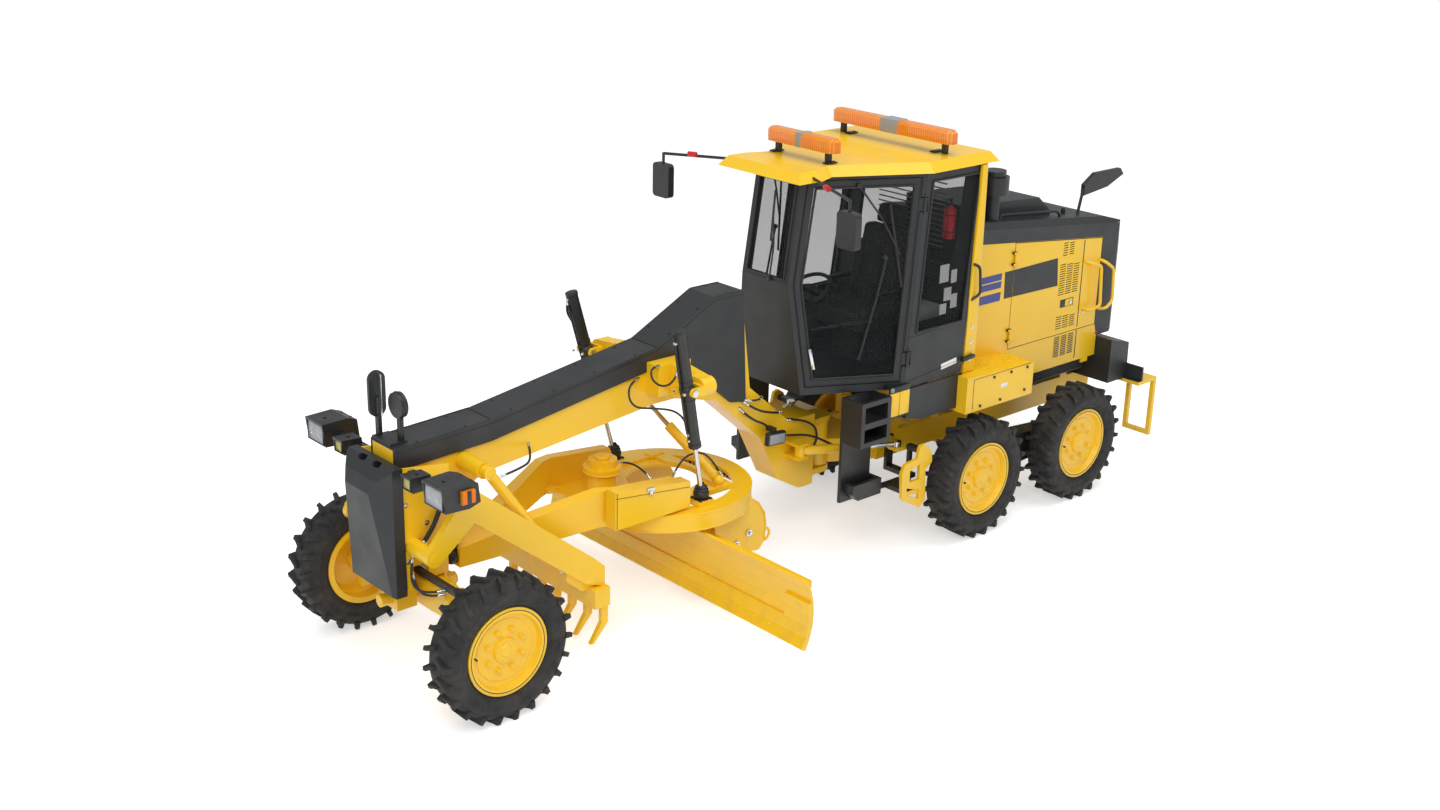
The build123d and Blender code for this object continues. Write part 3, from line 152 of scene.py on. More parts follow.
def shade(colour, factor):
    return tuple(min(1.0, channel * factor) for channel in colour)


def painted_steel(name, colour, roughness=0.34, dust=0.18, coat=0.2):
    """Glossy machine paint: faint orange peel, slow colour drift and a little dust low down."""
    paint = Paint(name, colour, roughness, Coat_Weight=coat, Coat_Roughness=0.12)
    drift = paint.noise(1.3, 2.0).ramp(0.35, 0.65)
    base = paint.mix(drift, shade(colour, 0.965), shade(colour, 1.03))
    z = paint.axes()[2]
    grime = paint.noise(9.0, 5.0).ramp(0.45, 0.75) * (1 - z.ramp(0.15, 0.9)) * dust
    paint.set("Base Color", paint.mix(grime, base, (0.3, 0.24, 0.16)))
    paint.set("Roughness", paint.noise(5.0, 4.0).ramp(0.3, 0.7, roughness - 0.05, roughness + 0.07))
    return paint.bump(paint.noise(240.0, 2.0), 0.06, 0.002)


def moulded_plastic(name, colour, roughness=0.5):
    """Satin moulded cover with a fine grain."""
    paint = Paint(name, colour, roughness)
    drift = paint.noise(2.0, 3.0).ramp(0.3, 0.7)
    paint.set("Base Color", paint.mix(drift, shade(colour, 0.9), shade(colour, 1.12)))
    paint.set("Roughness", paint.noise(14.0, 4.0).ramp(0.3, 0.7, roughness - 0.06, roughness + 0.08))
    return paint.bump(paint.noise(600.0, 2.0), 0.12, 0.001)


def tyre_rubber():
    paint = Paint("tyre_rubber", (0.022, 0.022, 0.023), 0.78)
    dust = paint.noise(7.0, 6.0).ramp(0.42, 0.72)
    paint.set("Base Color", paint.mix(dust, (0.017, 0.017, 0.018), (0.04, 0.037, 0.034)))
    paint.set("Roughness", paint.noise(22.0, 4.0).ramp(0.3, 0.7, 0.68, 0.9))
    return paint.bump(paint.noise(160.0, 4.0), 0.25, 0.002)


def bright_chrome():
    paint = Paint("bright_chrome", (0.58, 0.59, 0.61), 0.14, 1.0)
    paint.set("Roughness", paint.noise(30.0, 3.0, (1.0, 1.0, 0.1)).ramp(0.3, 0.7, 0.1, 0.2))
    return paint


def cast_iron():
    paint = Paint("cast_iron", (0.09, 0.09, 0.095), 0.62, 0.5)
    paint.set("Base Color", paint.mix(paint.noise(15.0, 5.0), (0.06, 0.06, 0.065), (0.13, 0.125, 0.12)))
    return paint.bump(paint.noise(90.0, 4.0), 0.4, 0.003)


def tinted_glass():
    paint = Paint("tinted_glass", (0.02, 0.026, 0.027), 0.02, Alpha=0.24, IOR=1.5, Specular_IOR_Level=0.08)
    paint.set("Roughness", paint.noise(3.0, 2.0).ramp(0.3, 0.7, 0.015, 0.035))
    return paint


def amber_lens():
    paint = Paint("amber_lens", (1.0, 0.28, 0.01), 0.16, Alpha=0.8, IOR=1.45)
    ribs = (paint.axes()[1] * 260.0).wave().ramp(-1.0, 1.0)
    paint.set("Base Color", paint.mix(ribs, (0.95, 0.2, 0.0), (1.0, 0.4, 0.03)))
    return paint.bump(ribs, 0.3, 0.003)


def lamp_lens(name, colour, alpha):
    """Moulded lens with fine upright ribs."""
    paint = Paint(name, colour, 0.08, Alpha=alpha, IOR=1.49)
    ribs = (paint.axes()[1] * 420.0).wave().ramp(-1.0, 1.0)
    paint.set("Base Color", paint.mix(ribs, shade(colour, 0.82), colour))
    return paint.bump(ribs, 0.25, 0.002)


def bare_plate():
    """Pale printed plate that carries nothing."""
    paint = Paint("bare_plate", (0.86, 0.86, 0.84), 0.38)
    paint.set("Base Color", paint.mix(paint.noise(8.0), (0.82, 0.82, 0.8), (0.9, 0.9, 0.88)))
    return paint


def seat_cloth():
    paint = Paint("seat_cloth", (0.03, 0.03, 0.032), 0.92)
    x, y, z = paint.axes()
    weave = (x * 900.0).wave() * (y * 900.0).wave() + (z * 900.0).wave()
    paint.set("Base Color", paint.mix(weave.ramp(-1.5, 1.5), (0.018, 0.018, 0.02), (0.06, 0.06, 0.063)))
    return paint.bump(weave, 0.3, 0.001)


YELLOW = (0.98, 0.6, 0.012)
DARK = (0.02, 0.0225, 0.025)
BLACK = (0.016, 0.017, 0.018)
FINISHES = {
    "yellow": painted_steel("yellow_paint", YELLOW),
    "dark": painted_steel("charcoal_paint", DARK, 0.5, 0.1, 0.02),
    "black": moulded_plastic("black_paint", BLACK, 0.42),
    "chrome": bright_chrome(),
    "tyre": tyre_rubber(),
    "glass": tinted_glass(),
    "orange": amber_lens(),
    "engine": cast_iron(),
    "seat": seat_cloth(),
    "clear": lamp_lens("clear_lens", (0.72, 0.75, 0.8), 0.45),
    "fog": lamp_lens("fog_lens", (0.62, 0.58, 0.16), 0.85),
    "white": bare_plate(),
    "blue": painted_steel("blue_stripe", (0.012, 0.03, 0.26), 0.34, 0.1),
    "red": moulded_plastic("red_paint", (0.55, 0.012, 0.015), 0.35),
    "grey": moulded_plastic("grey_paint", (0.3, 0.31, 0.32), 0.5),
}


def finish_node(node, *regions):
    """Gives a CAD node its finish, and other finishes to the faces that each region's test picks."""
    mesh = nodes[node].data
    first = regions[0]
    mesh.materials.clear()
    mesh.materials.append(FINISHES[first].material)
    for finish, test in regions[1:]:
        index = len(mesh.materials)
        mesh.materials.append(FINISHES[finish].material)
        for face in mesh.polygons:
            if test(face.center - SHIFT, face.normal):
                face.material_index = index


# Finishes of the CAD nodes

# The record's slot gives the first finish. These faces have another, and each test gets a face's
# centre and normal.
REGIONS = {
    "hood_shell": [
        ("yellow", lambda c, n: abs(c.y) > 0.505 and c.x > -7.005 and c.z < 2.42 and abs(n.y) > 0.9),
        ("black", lambda c, n: c.z > 2.76 or (c.x < -6.7 and c.z > 2.5)),
    ],
    "side_steps": [
        ("yellow", lambda c, n: abs(c.y) > 0.84 and c.z < 1.0),
        ("yellow", lambda c, n: c.x < -4.74 and c.z > 1.08),
        ("dark", lambda c, n: -4.81 < c.x < -4.0 and 0.77 < abs(c.y) < 0.8 and c.z > 1.1),
    ],
    "counterweight": [("yellow", lambda c, n: c.x < -7.31 or c.z < 0.855)],
    "cab_roof": [("black", lambda c, n: c.x > -3.3 and abs(c.y) > 0.47 or c.z < 3.19)],
    "frame_cover": [("black", lambda c, n: c.x > 0.14 and c.z > 1.81)],
    # Faces set just behind the hood door's outer face, such as the insides of its louvre slots, are painted
    # black: painted shade that makes the slots look deep.
    "hood_door": [("black", lambda c, n: 0.53 < abs(c.y) < 0.5444)],
    "lamp_bar": [("orange", lambda c, n: abs(c.y) > 0.885)],
    "light_bars": [("black", lambda c, n: c.z < 3.372)],
    "cab_interior": [("black", lambda c, n: c.z < 1.5 or c.x > -4.1)],
}
slots = {part["node"]: part["material_slot"] for part in frame["record"]["subparts"]}
for node, first in slots.items():
    both_sides = node.removesuffix("_left").removesuffix("_right")
    finish_node(node, "yellow" if both_sides == "yoke" else first, *REGIONS.get(both_sides, []))


# Modelling

AXES = {"x": Vector((1, 0, 0)), "y": Vector((0, 1, 0)), "z": Vector((0, 0, 1))}
FORWARD, LEFT, UP = AXES.values()
SIDES = (("left", 1), ("right", -1))


def place(point):
    """A point of the machine, in the shared frame."""
    return Vector(point) + SHIFT


def ready():
    bpy.ops.object.select_all(action="DESELECT")


def added(bevel=0.0, segments=2):
    """The piece just made: its place goes into its mesh, and its sharp edges get a bevel."""
    piece = bpy.context.object
    bpy.ops.object.transform_apply(location=True, rotation=True, scale=True)
    if bevel:
        edge = piece.modifiers.new("edge", "BEVEL")
        edge.width = bevel
        edge.segments = segments
        bpy.ops.object.modifier_apply(modifier=edge.name)
    return piece


def block(size, centre, bevel=0.0, turn=(0, 0, 0), segments=2):
    """Box of a size along x, y and z, turned about its centre."""
    ready()
    bpy.ops.mesh.primitive_cube_add(size=1, location=place(centre), rotation=turn)
    bpy.context.object.scale = size
    return added(bevel, segments)


def facing(direction):
    """The turn that takes a piece's own z to the direction."""
    return direction.to_track_quat("Z", "Y").to_euler()


def drum(start, end, radius, sides=32, bevel=0.0, far_radius=None):
    """Round bar or cone from one point to another."""
    first, last = place(start), place(end)
    axis = last - first
    tip = radius if far_radius is None else far_radius
    ready()
    bpy.ops.mesh.primitive_cone_add(vertices=sides, radius1=radius, radius2=tip, depth=axis.length,
                                    location=(first + last) / 2, rotation=facing(axis))
    return added(bevel)


def globe(centre, radius):
    ready()
    bpy.ops.mesh.primitive_uv_sphere_add(segments=24, ring_count=12, radius=radius, location=place(centre))
    return added()


def ring(centre, axis, radius, thickness, sides=48):
    """Round ring across an axis. Its thickness is the radius of its section."""
    ready()
    bpy.ops.mesh.primitive_torus_add(major_radius=radius, minor_radius=thickness, major_segments=sides,
                                     minor_segments=10, location=place(centre), rotation=facing(AXES[axis]))
    return added()


def beam(start, end, width, depth, bevel=0.0):
    """Square bar from one point to another."""
    first, last = place(start), place(end)
    axis = last - first
    ready()
    bpy.ops.mesh.primitive_cube_add(size=1, location=(first + last) / 2, rotation=facing(axis))
    bpy.context.object.scale = (width, depth, axis.length)
    return added(bevel)


def trace(points):
    """Leaves a line through the points in edit mode, each point extruded from the one before."""
    ready()
    bpy.ops.mesh.primitive_plane_add(size=0.1, location=points[0])
    bpy.ops.object.mode_set(mode="EDIT")
    bpy.context.tool_settings.mesh_select_mode = (True, False, False)
    bpy.ops.mesh.select_all(action="SELECT")
    bpy.ops.mesh.merge(type="CENTER")
    for before, after in zip(points, points[1:]):
        bpy.ops.mesh.extrude_region_move(TRANSFORM_OT_translate={"value": after - before})


def recalculated():
    bpy.ops.mesh.select_all(action="SELECT")
    bpy.ops.mesh.remove_doubles(threshold=0.00001)
    bpy.ops.mesh.normals_make_consistent(inside=False)
    bpy.ops.object.mode_set(mode="OBJECT")


def plate(outline, across, span, bevel=0.0, taper=None):
    """Outline in the plane across an axis, extruded over the span along it."""
    start, end = span
    at = "xyz".index(across)
    trace([place((*point[:at], start, *point[at:])) for point in outline])
    bpy.ops.mesh.select_all(action="SELECT")
    bpy.ops.mesh.edge_face_add()
    bpy.ops.mesh.extrude_region_move(TRANSFORM_OT_translate={"value": AXES[across] * (end - start)})
    if taper:
        bpy.ops.transform.resize(value=taper)
    recalculated()
    return added(bevel)


def lathe(profile, centre, axis, steps=48):
    """Profile of distances along the axis and radii, spun about it."""
    middle, along = place(centre), AXES[axis]
    side = LEFT if axis == "x" else FORWARD
    trace([middle + along * distance + side * radius for distance, radius in profile])
    bpy.ops.mesh.select_all(action="SELECT")
    bpy.ops.mesh.spin(steps=steps, angle=2 * pi, center=middle, axis=along)
    recalculated()
    return added()


def copied(piece, move):
    """A copy of a piece with its own mesh, moved by a matrix of the shared frame."""
    twin = piece.copy()
    twin.data = piece.data.copy()
    twin.data.transform(move)
    if move.determinant() < 0:
        twin.data.flip_normals()
    bpy.context.scene.collection.objects.link(twin)
    return twin


def turned(piece, centre, axis, angle):
    """A copy turned about an axis through a point of the machine."""
    middle = Matrix.Translation(place(centre))
    return copied(piece, middle @ Matrix.Rotation(angle, 4, axis) @ middle.inverted())


def other_side(piece):
    """A mirrored copy on the machine's other side."""
    middle = Matrix.Translation(place((0, 0, 0)))
    return copied(piece, middle @ Matrix.Scale(-1, 4, LEFT) @ middle.inverted())


def both(pieces):
    return pieces + [other_side(piece) for piece in pieces]


def bolt(point, axis, radius=0.011, height=0.008):
    """Six-sided head with a washer, standing on a surface."""
    base, out = Vector(point), Vector(axis).normalized()
    washer = drum(base - out * 0.002, base + out * 0.002, radius * 1.35, 20)
    return [washer, drum(base, base + out * height, radius, 6, 0.0012)]


def bolts(points, axis, radius=0.011, height=0.008):
    return [piece for point in points for piece in bolt(point, axis, radius, height)]


def circle_of(centre, axis, radius, count, start=0.0):
    """Points evenly round a circle across an axis."""
    first = LEFT if axis == "x" else FORWARD
    second = LEFT if axis == "z" else UP
    angles = [start + 2 * pi * index / count for index in range(count)]
    return [Vector(centre) + first * radius * cos(a) + second * radius * sin(a) for a in angles]


def part(name, body, finish, pieces, smooth=35, slot=None):
    """Joins pieces into one named piece that rides a body and takes a finish."""
    ready()
    for piece in pieces:
        piece.select_set(True)
    bpy.context.view_layer.objects.active = pieces[0]
    if len(pieces) > 1:
        bpy.ops.object.join()
    whole = bpy.context.view_layer.objects.active
    whole.name = name
    whole.data.name = name
    bpy.ops.object.shade_smooth_by_angle(angle=radians(smooth))
    whole.data.materials.append(FINISHES[finish].material)
    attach(whole, body)
    slot = slot or finish
    slot in slots.values()
    return whole


def two_parts(name, body, finish, pieces):
    """The left piece and its mirrored copy. A star in the body's name stands for the side."""
    right = [other_side(piece) for piece in pieces]
    part(f"{name}_left", body.replace("*", "left"), finish, pieces)
    part(f"{name}_right", body.replace("*", "right"), finish, right)


def round_curve(name, radius, resolution):
    """An empty round curve with closed ends."""
    data = bpy.data.curves.new(name, "CURVE")
    data.dimensions = "3D"
    data.bevel_depth = radius
    data.bevel_resolution = 3
    data.resolution_u = resolution
    data.use_fill_caps = True
    return data


def linked(name, data):
    """A new object of the scene that holds the data."""
    made = bpy.data.objects.new(name, data)
    bpy.context.scene.collection.objects.link(made)
    return made


BEND = 0.04
BEND_STEPS = 4


def rail(points, radius):
    """Bent round bar through points, as a mesh."""
    data = round_curve("rail", radius, 6)
    line = data.splines.new("POLY")
    spots = [place(point) for point in points]
    bent = [spots[0]]
    for before, here, after in zip(spots, spots[1:], spots[2:]):
        start = here + (before - here).normalized() * min(BEND, (before - here).length * 0.45)
        end = here + (after - here).normalized() * min(BEND, (after - here).length * 0.45)
        for step in range(BEND_STEPS + 1):
            t = step / BEND_STEPS
            bent.append(start * (1 - t) ** 2 + here * 2 * t * (1 - t) + end * t ** 2)
    bent.append(spots[-1])
    line.points.add(len(bent) - 1)
    for point, spot in zip(line.points, bent):
        point.co = (*spot, 1)
    holder = linked("rail", data)
    ready()
    holder.select_set(True)
    bpy.context.view_layer.objects.active = holder
    bpy.ops.object.convert(target="MESH")
    return bpy.context.object


# Wheels

TRACK_HALF = 0.91
TYRE_RADIUS = 0.525
AXLES = {"front": 0.0, "mid": -4.9205, "rear": -6.2735}
LUGS = 22
LUG_FOOT = 0.462
LUG = [(-0.022, 0.004), (0.016, 0.004), (0.03, 0.052), (0.06, 0.1), (0.068, 0.138), (0.026, 0.138)]
LUG += [(0.018, 0.1), (-0.01, 0.052)]
HALF_TYRE = [(0.0, 0.497), (0.06, 0.496), (0.1, 0.49), (0.121, 0.476), (0.133, 0.452), (0.1375, 0.425)]
HALF_TYRE += [(0.1385, 0.412), (0.136, 0.409), (0.1345, 0.385), (0.128, 0.362), (0.129, 0.357)]
HALF_TYRE += [(0.124, 0.352), (0.112, 0.338), (0.099, 0.331), (0.099, 0.295)]
NUTS, NUT_CIRCLE = 8, 0.15
RIM_RINGS = [(0.11, 0.306, 0.0045, 64), (0.104, 0.283, 0.004, 64), (0.0655, 0.226, 0.004, 48)]
RIM_RINGS += [(0.088, 0.074, 0.004, 40)]
HUB_CAP = [(0.086, 0.0), (0.098, 0.0), (0.096, 0.04), (0.086, 0.048)]


def make_lug():
    """Lug of the left row, from the middle of the tread over the shoulder."""
    return plate(LUG, "z", (LUG_FOOT, TYRE_RADIUS - 0.001), 0.004, taper=(0.8, 0.88, 1.0))


def make_tyre():
    profile = [(-y, radius) for y, radius in reversed(HALF_TYRE)] + HALF_TYRE[1:]
    carcass = lathe(profile, (0, 0, 0), "y", LUGS * 4)
    first = make_lug()
    turn = 2 * pi / LUGS
    lugs = [turned(first, (0, 0, 0), "Y", turn * index) for index in range(1, LUGS)]
    second = other_side(first)
    lugs += [turned(second, (0, 0, 0), "Y", turn * (index + 0.5)) for index in range(LUGS)]
    bpy.data.objects.remove(second)
    return part("tyre_pattern", "rear", "tyre", [carcass, first] + lugs, 40)


def make_wheels():
    """Dressed wheels: each finer tyre stands in for the part's own."""
    pattern = make_tyre()
    for axle, x in AXLES.items():
        for word, side in SIDES:
            centre = Vector((x, side * TRACK_HALF, TYRE_RADIUS))
            turn = Matrix.Translation(place(centre)) @ Matrix.Rotation(0 if side > 0 else pi, 4, "Z")
            tyre = copied(pattern, turn @ Matrix.Translation(-SHIFT))
            tyre.name = tyre.data.name = f"tread_{axle}_{word}"
            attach(tyre, f"wheel_{axle}_{word}")
            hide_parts(f"tyre_{axle}_{word}")
            dress_rim(axle, word, centre, side)
    bpy.data.objects.remove(pattern)


def dress_rim(axle, word, centre, side):
    """Domed nuts, flange rings and a valve on a wheel's outer face."""
    out = LEFT * side
    wheel = f"{axle}_{word}"
    nuts = []
    for spot in circle_of(centre + out * 0.062, "y", NUT_CIRCLE, NUTS, pi / NUTS):
        tip = spot + out * 0.024
        nuts += [drum(spot, spot + out * 0.006, 0.025, 24, 0.001), drum(spot, tip, 0.0195, 6, 0.002)]
        nuts.append(globe(tip, 0.0125))
    part(f"rim_nuts_{wheel}", f"wheel_{wheel}", "yellow", nuts)
    rings = [ring(centre + out * rise, "y", *size) for rise, *size in RIM_RINGS]
    rings.append(lathe([(side * rise, radius) for rise, radius in HUB_CAP], centre, "y", 32))
    part(f"rim_rings_{wheel}", f"wheel_{wheel}", "yellow", rings)
    gap = [ring(centre + out * 0.1095, "y", 0.2975, 0.0035, 64)]
    valve = centre + Vector((0.262, side * 0.078, 0.03))
    gap.append(drum(valve, valve + out * 0.035, 0.006, 12))
    gap.append(drum(valve + out * 0.033, valve + out * 0.048, 0.008, 12))
    part(f"rim_gap_{wheel}", f"wheel_{wheel}", "black", gap)


make_wheels()


# Front axle, nose and lamps

AXLE_PIN = Vector((0.368, 0, 0.629))
WHEEL_PIVOT_Y, KING_PIN_Y, LEAN_BAR_Z = 0.61, 0.728, 0.825
POST_FACE, GUARD_FACE = 0.268, 0.285


def make_axle_details():
    face = AXLE_PIN + FORWARD * 0.006
    cap = [drum(AXLE_PIN, face, 0.046, 40, 0.004)]
    cap += bolts(circle_of(face, "x", 0.03, 6), FORWARD, 0.006, 0.004)
    part("axle_pin_cap", "front", "yellow", cap)
    for word, side in SIDES:
        pivot, king = side * WHEEL_PIVOT_Y, side * KING_PIN_Y
        caps = [drum((x, pivot, TYRE_RADIUS), (x + 0.01 * step, pivot, TYRE_RADIUS), 0.034, 32, 0.002)
                for x, step in ((0.118, 1), (-0.118, -1))]
        caps += bolts([(0.126, pivot, TYRE_RADIUS)], FORWARD, 0.012)
        for z, step in ((0.635, 1), (0.415, -1)):
            top = Vector((0, king, z + step * 0.012))
            caps.append(drum((0, king, z), top, 0.042, 32, 0.003))
            caps += bolts(circle_of(top, "z", 0.028, 4), (0, 0, step), 0.006, 0.005)
        part(f"pivot_caps_{word}", f"lean_{word}", "yellow", caps)
    ends = []
    for side in (-1, 1):
        end = Vector((0.132, side * WHEEL_PIVOT_Y, LEAN_BAR_Z))
        ends += [drum(end - FORWARD * 0.012, end, 0.026, 24, 0.003)]
        ends += bolts([end], FORWARD, 0.011)
    part("lean_bar_ends", "lean_bar", "black", ends)


def make_post_bolts():
    places = ((0.285, 1.62), (0.29, 1.42), (0.285, 1.0), (0.13, 1.25), (0.0, 1.52))
    heads = bolts([(x, POST_FACE, z) for x, z in places], LEFT, 0.014, 0.007)
    part("post_bolts", "front", "chrome", both(heads))
    heads = bolts([(0.33, GUARD_FACE, z) for z in (1.45, 1.1, 0.82)], LEFT, 0.011, 0.006)
    part("guard_bolts", "front", "black", both(heads))
    floors = [block((0.1, 0.055, 0.004), (0.418, y, 1.625), 0.0015, (0, radians(46), 0))
              for y in (-0.09, 0.09)]
    part("guard_slot_floor", "front", "black", floors)


HEADLAMP_X, HEADLAMP_Y, HEADLAMP_Z = 0.372, 0.76, 1.665
FOG_LAMP_Y, FOG_LAMP_Z = 0.44, 1.655


def make_lamps():
    """Lenses, bowls and bezels of the head, fog and side lamps."""
    bowl = [(0.0, 0.03), (0.01, 0.042), (0.02, 0.046), (0.022, 0.05), (0.0, 0.05)]
    bowls = [lathe(bowl, (0.35, HEADLAMP_Y + step, 1.664), "x", 32) for step in (-0.048, 0.048)]
    bowls.append(block((0.006, 0.016, 0.1), (0.357, HEADLAMP_Y, 1.664), 0.002))
    part("headlamp_bowls", "front", "chrome", both(bowls))
    lens = block((0.006, 0.2, 0.134), (0.375, HEADLAMP_Y, HEADLAMP_Z), 0.002)
    part("headlamp_lenses", "front", "clear", both([lens]), slot="glass")
    lens = block((0.012, 0.09, 0.076), (HEADLAMP_X, FOG_LAMP_Y, FOG_LAMP_Z), 0.003)
    part("fog_lenses", "front", "fog", both([lens]), slot="glass")
    bezels = [block((0.018, 0.214, 0.008), (HEADLAMP_X, HEADLAMP_Y, z)) for z in (1.737, 1.594)]
    bezels += [block((0.018, 0.008, 0.146), (HEADLAMP_X, y, HEADLAMP_Z)) for y in (0.655, 0.865)]
    bezels += [block((0.016, 0.1, 0.006), (0.378, FOG_LAMP_Y, z)) for z in (1.614, 1.696)]
    bezels += [block((0.016, 0.006, 0.086), (0.378, y, FOG_LAMP_Z)) for y in (0.392, 0.488)]
    bezels.append(drum((0.24, FOG_LAMP_Y, 1.6), (0.24, FOG_LAMP_Y, 1.575), 0.018, 20, 0.002))
    bezels += bolts([(0.3, FOG_LAMP_Y, 1.7065)], UP, 0.012, 0.008)
    lids = [(0.13, 0.7, 1.742), (0.13, 0.82, 1.742), (0.3, 0.76, 1.7575)]
    bezels += bolts(lids, UP, 0.008, 0.005)
    part("lamp_bezels", "front", "black", both(bezels))
    gap = block((0.03, 0.006, 0.092), (0.2, 0.907, HEADLAMP_Z), 0.002)
    part("side_lamp_gap", "front", "black", both([gap]))
    sides = [block((0.03, 0.012, 0.084), (x, 0.908, HEADLAMP_Z), 0.004, segments=3)
             for x in (0.168, 0.232)]
    part("side_lamp_lenses", "front", "orange", both(sides))


COVER_LINE = [(0.29, 1.785), (-0.499, 1.824), (-1.996, 2.058), (-2.57, 2.35), (-2.87, 2.35)]
SCREW_SPACING = 0.36
LONG_MIRROR_Y, ROUND_MIRROR_Y = -0.12, 0.06


def make_cover_details():
    """Screws, seams and bright edge of the cover over the beam, and the mirrors' faces."""
    screws, seams = [], []
    for (x0, z0), (x1, z1) in zip(COVER_LINE, COVER_LINE[1:]):
        up = Vector((z0 - z1, 0, x0 - x1)).normalized()
        count = max(1, round(Vector((x1 - x0, z1 - z0)).length / SCREW_SPACING))
        for index in range(count):
            t = (index + 0.5) / count
            for y in (-0.12, 0.12):
                foot = Vector((x0 + (x1 - x0) * t, y, z0 + (z1 - z0) * t))
                screws.append(drum(foot - up * 0.002, foot + up * 0.004, 0.01, 20, 0.0015))
        for y in (-0.1535, 0.1535):
            seams.append(beam((x0, y, z0 - 0.03), (x1, y, z1 - 0.03), 0.005, 0.004))
    seams += [block((0.005, 0.302, 0.006), (x, 0, z + 0.001)) for x, z in COVER_LINE[1:3]]
    part("cover_screws", "front", "black", screws)
    part("cover_seams", "front", "black", seams)
    edges = [beam((0.288, y, 1.787), (-0.498, y, 1.826), 0.006, 0.004) for y in (-0.148, 0.148)]
    edges += [beam((-2.58, y, 2.352), (-2.865, y, 2.352), 0.006, 0.004) for y in (-0.148, 0.148)]
    part("cover_edges", "front", "dark", edges)
    glass = [block((0.003, 0.11, 0.3), (0.2385, LONG_MIRROR_Y, 2.1), 0.001)]
    dome = [(0.0, 0.0), (-0.01, 0.04), (0.0, 0.08), (0.0, 0.0)]
    glass.append(lathe(dome, (0.1645, ROUND_MIRROR_Y, 2.06), "x", 40))
    part("mirror_faces", "front", "chrome", glass)
    arms = [beam((0.2405, LONG_MIRROR_Y, 1.8), (0.2405, LONG_MIRROR_Y, 1.96), 0.03, 0.046, 0.004)]
    arms.append(beam((0.18, ROUND_MIRROR_Y, 1.8), (0.18, ROUND_MIRROR_Y, 1.985), 0.03, 0.046, 0.004))
    arms.append(ring((0.19, ROUND_MIRROR_Y, 2.06), "x", 0.086, 0.01, 48))
    part("mirror_posts", "front", "black", arms)


# Lift cylinders and their arms

LIFT_PIVOT, LIFT_FOOT = (-1.915, 0.605, 1.857), (-2.131, 0.534, 0.968)
BALL_SEAT_Z = 0.9235
BALL_BOOT = [(-0.048, 0.0), (-0.046, 0.046), (-0.02, 0.06), (0.01, 0.062), (0.022, 0.052), (0.034, 0.056)]
BALL_BOOT += [(0.044, 0.044), (0.054, 0.048), (0.066, 0.03), (0.082, 0.021)]
ARM_FACE_X = -2.142


def make_lift_details():
    for word, side in SIDES:
        pivot, foot = [Vector((x, side * y, z)) for x, y, z in (LIFT_PIVOT, LIFT_FOOT)]
        along = (foot - pivot).normalized()
        bands = [drum(pivot + along * a, pivot + along * b, 0.05, 40, 0.003)
                 for a, b in ((-0.5, -0.47), (0.455, 0.494), (-0.092, -0.066), (0.066, 0.092))]
        bands.append(drum(pivot - along * 0.503, pivot - along * 0.499, 0.04, 40, 0.001))
        pipe = [pivot + along * run + FORWARD * out
                for run, out in ((-0.4, 0.055), (-0.3, 0.062), (0.3, 0.062), (0.42, 0.05))]
        bands.append(rail(pipe, 0.009))
        part(f"lift_bands_{word}", f"lift_barrel_{word}", "black", bands)
        ports = [drum(pivot + along * run, pivot + along * run + FORWARD * 0.065, 0.013, 6)
                 for run in (-0.41, 0.43)]
        part(f"lift_ports_{word}", f"lift_barrel_{word}", "chrome", ports)
        part(f"ball_boot_{word}", f"lift_rod_{word}", "black", [lathe(BALL_BOOT, foot, "z", 40)])
        base = Vector((foot.x, foot.y, BALL_SEAT_Z))
        seat = [drum(base, base + UP * 0.0075, 0.066, 40, 0.003)]
        seat += bolts(circle_of(base, "z", 0.072, 4, radians(45)), UP, 0.01, 0.012)
        part(f"ball_seat_{word}", "drawbar", "black", seat)
        pins = [drum((-1.838, pivot.y + step, pivot.z), (-1.822, pivot.y + step, pivot.z), 0.011, 6)
                for step in (-0.06, 0.06)]
        pins += [drum(pivot + LEFT * step * 0.088, pivot + LEFT * step * 0.096, 0.028, 32, 0.002)
                 for step in (-1, 1)]
        part(f"yoke_pins_{word}", f"yoke_{word}", "chrome", pins)
        end = Vector((ARM_FACE_X, pivot.y, pivot.z))
        arm = [drum(end, end - FORWARD * 0.008, 0.062, 40, 0.003)]
        arm += bolts(circle_of(end - FORWARD * 0.008, "x", 0.045, 6), -FORWARD, 0.009, 0.006)
        tops = [(-2.02, side * 0.4, 1.943), (-2.1, side * 0.4, 1.943), (-2.06, side * 0.5, 1.931)]
        arm += bolts(tops, UP, 0.011)
        part(f"arm_caps_{word}", "front", "yellow", arm)


# Drawbar, circle and blade

MOTOR = Vector((-1.6, 0, 1.16))
VALVE_BOX_FACE = 0.5725
VALVE_BOX_TILT = (0, radians(-6), 0)
DRAWBAR_TOP = 0.905
CIRCLE_CENTRE = Vector((-2.2, 0, 0.8))
CIRCLE_TEETH, TEETH_RADIUS, LIP_RADIUS = 96, 0.662, 0.699
SIDE_PLATE_EDGE = [(-2.48, 0.848), (-2.6, 0.823), (-2.7, 0.748), (-2.764, 0.65), (-2.783, 0.54)]
SIDE_PLATE_EDGE += [(-2.768, 0.402)]
BLADE_CENTRE_X, BLADE_CENTRE_Z, BLADE_HOLLOW = -1.568, 0.42, 0.56
EDGE_BOLTS, EDGE_BOLT_STEP, FIRST_EDGE_BOLT = 20, 0.1547, -1.25
RIBS, RIB_STEP, FIRST_RIB = 8, 0.4, -1.16


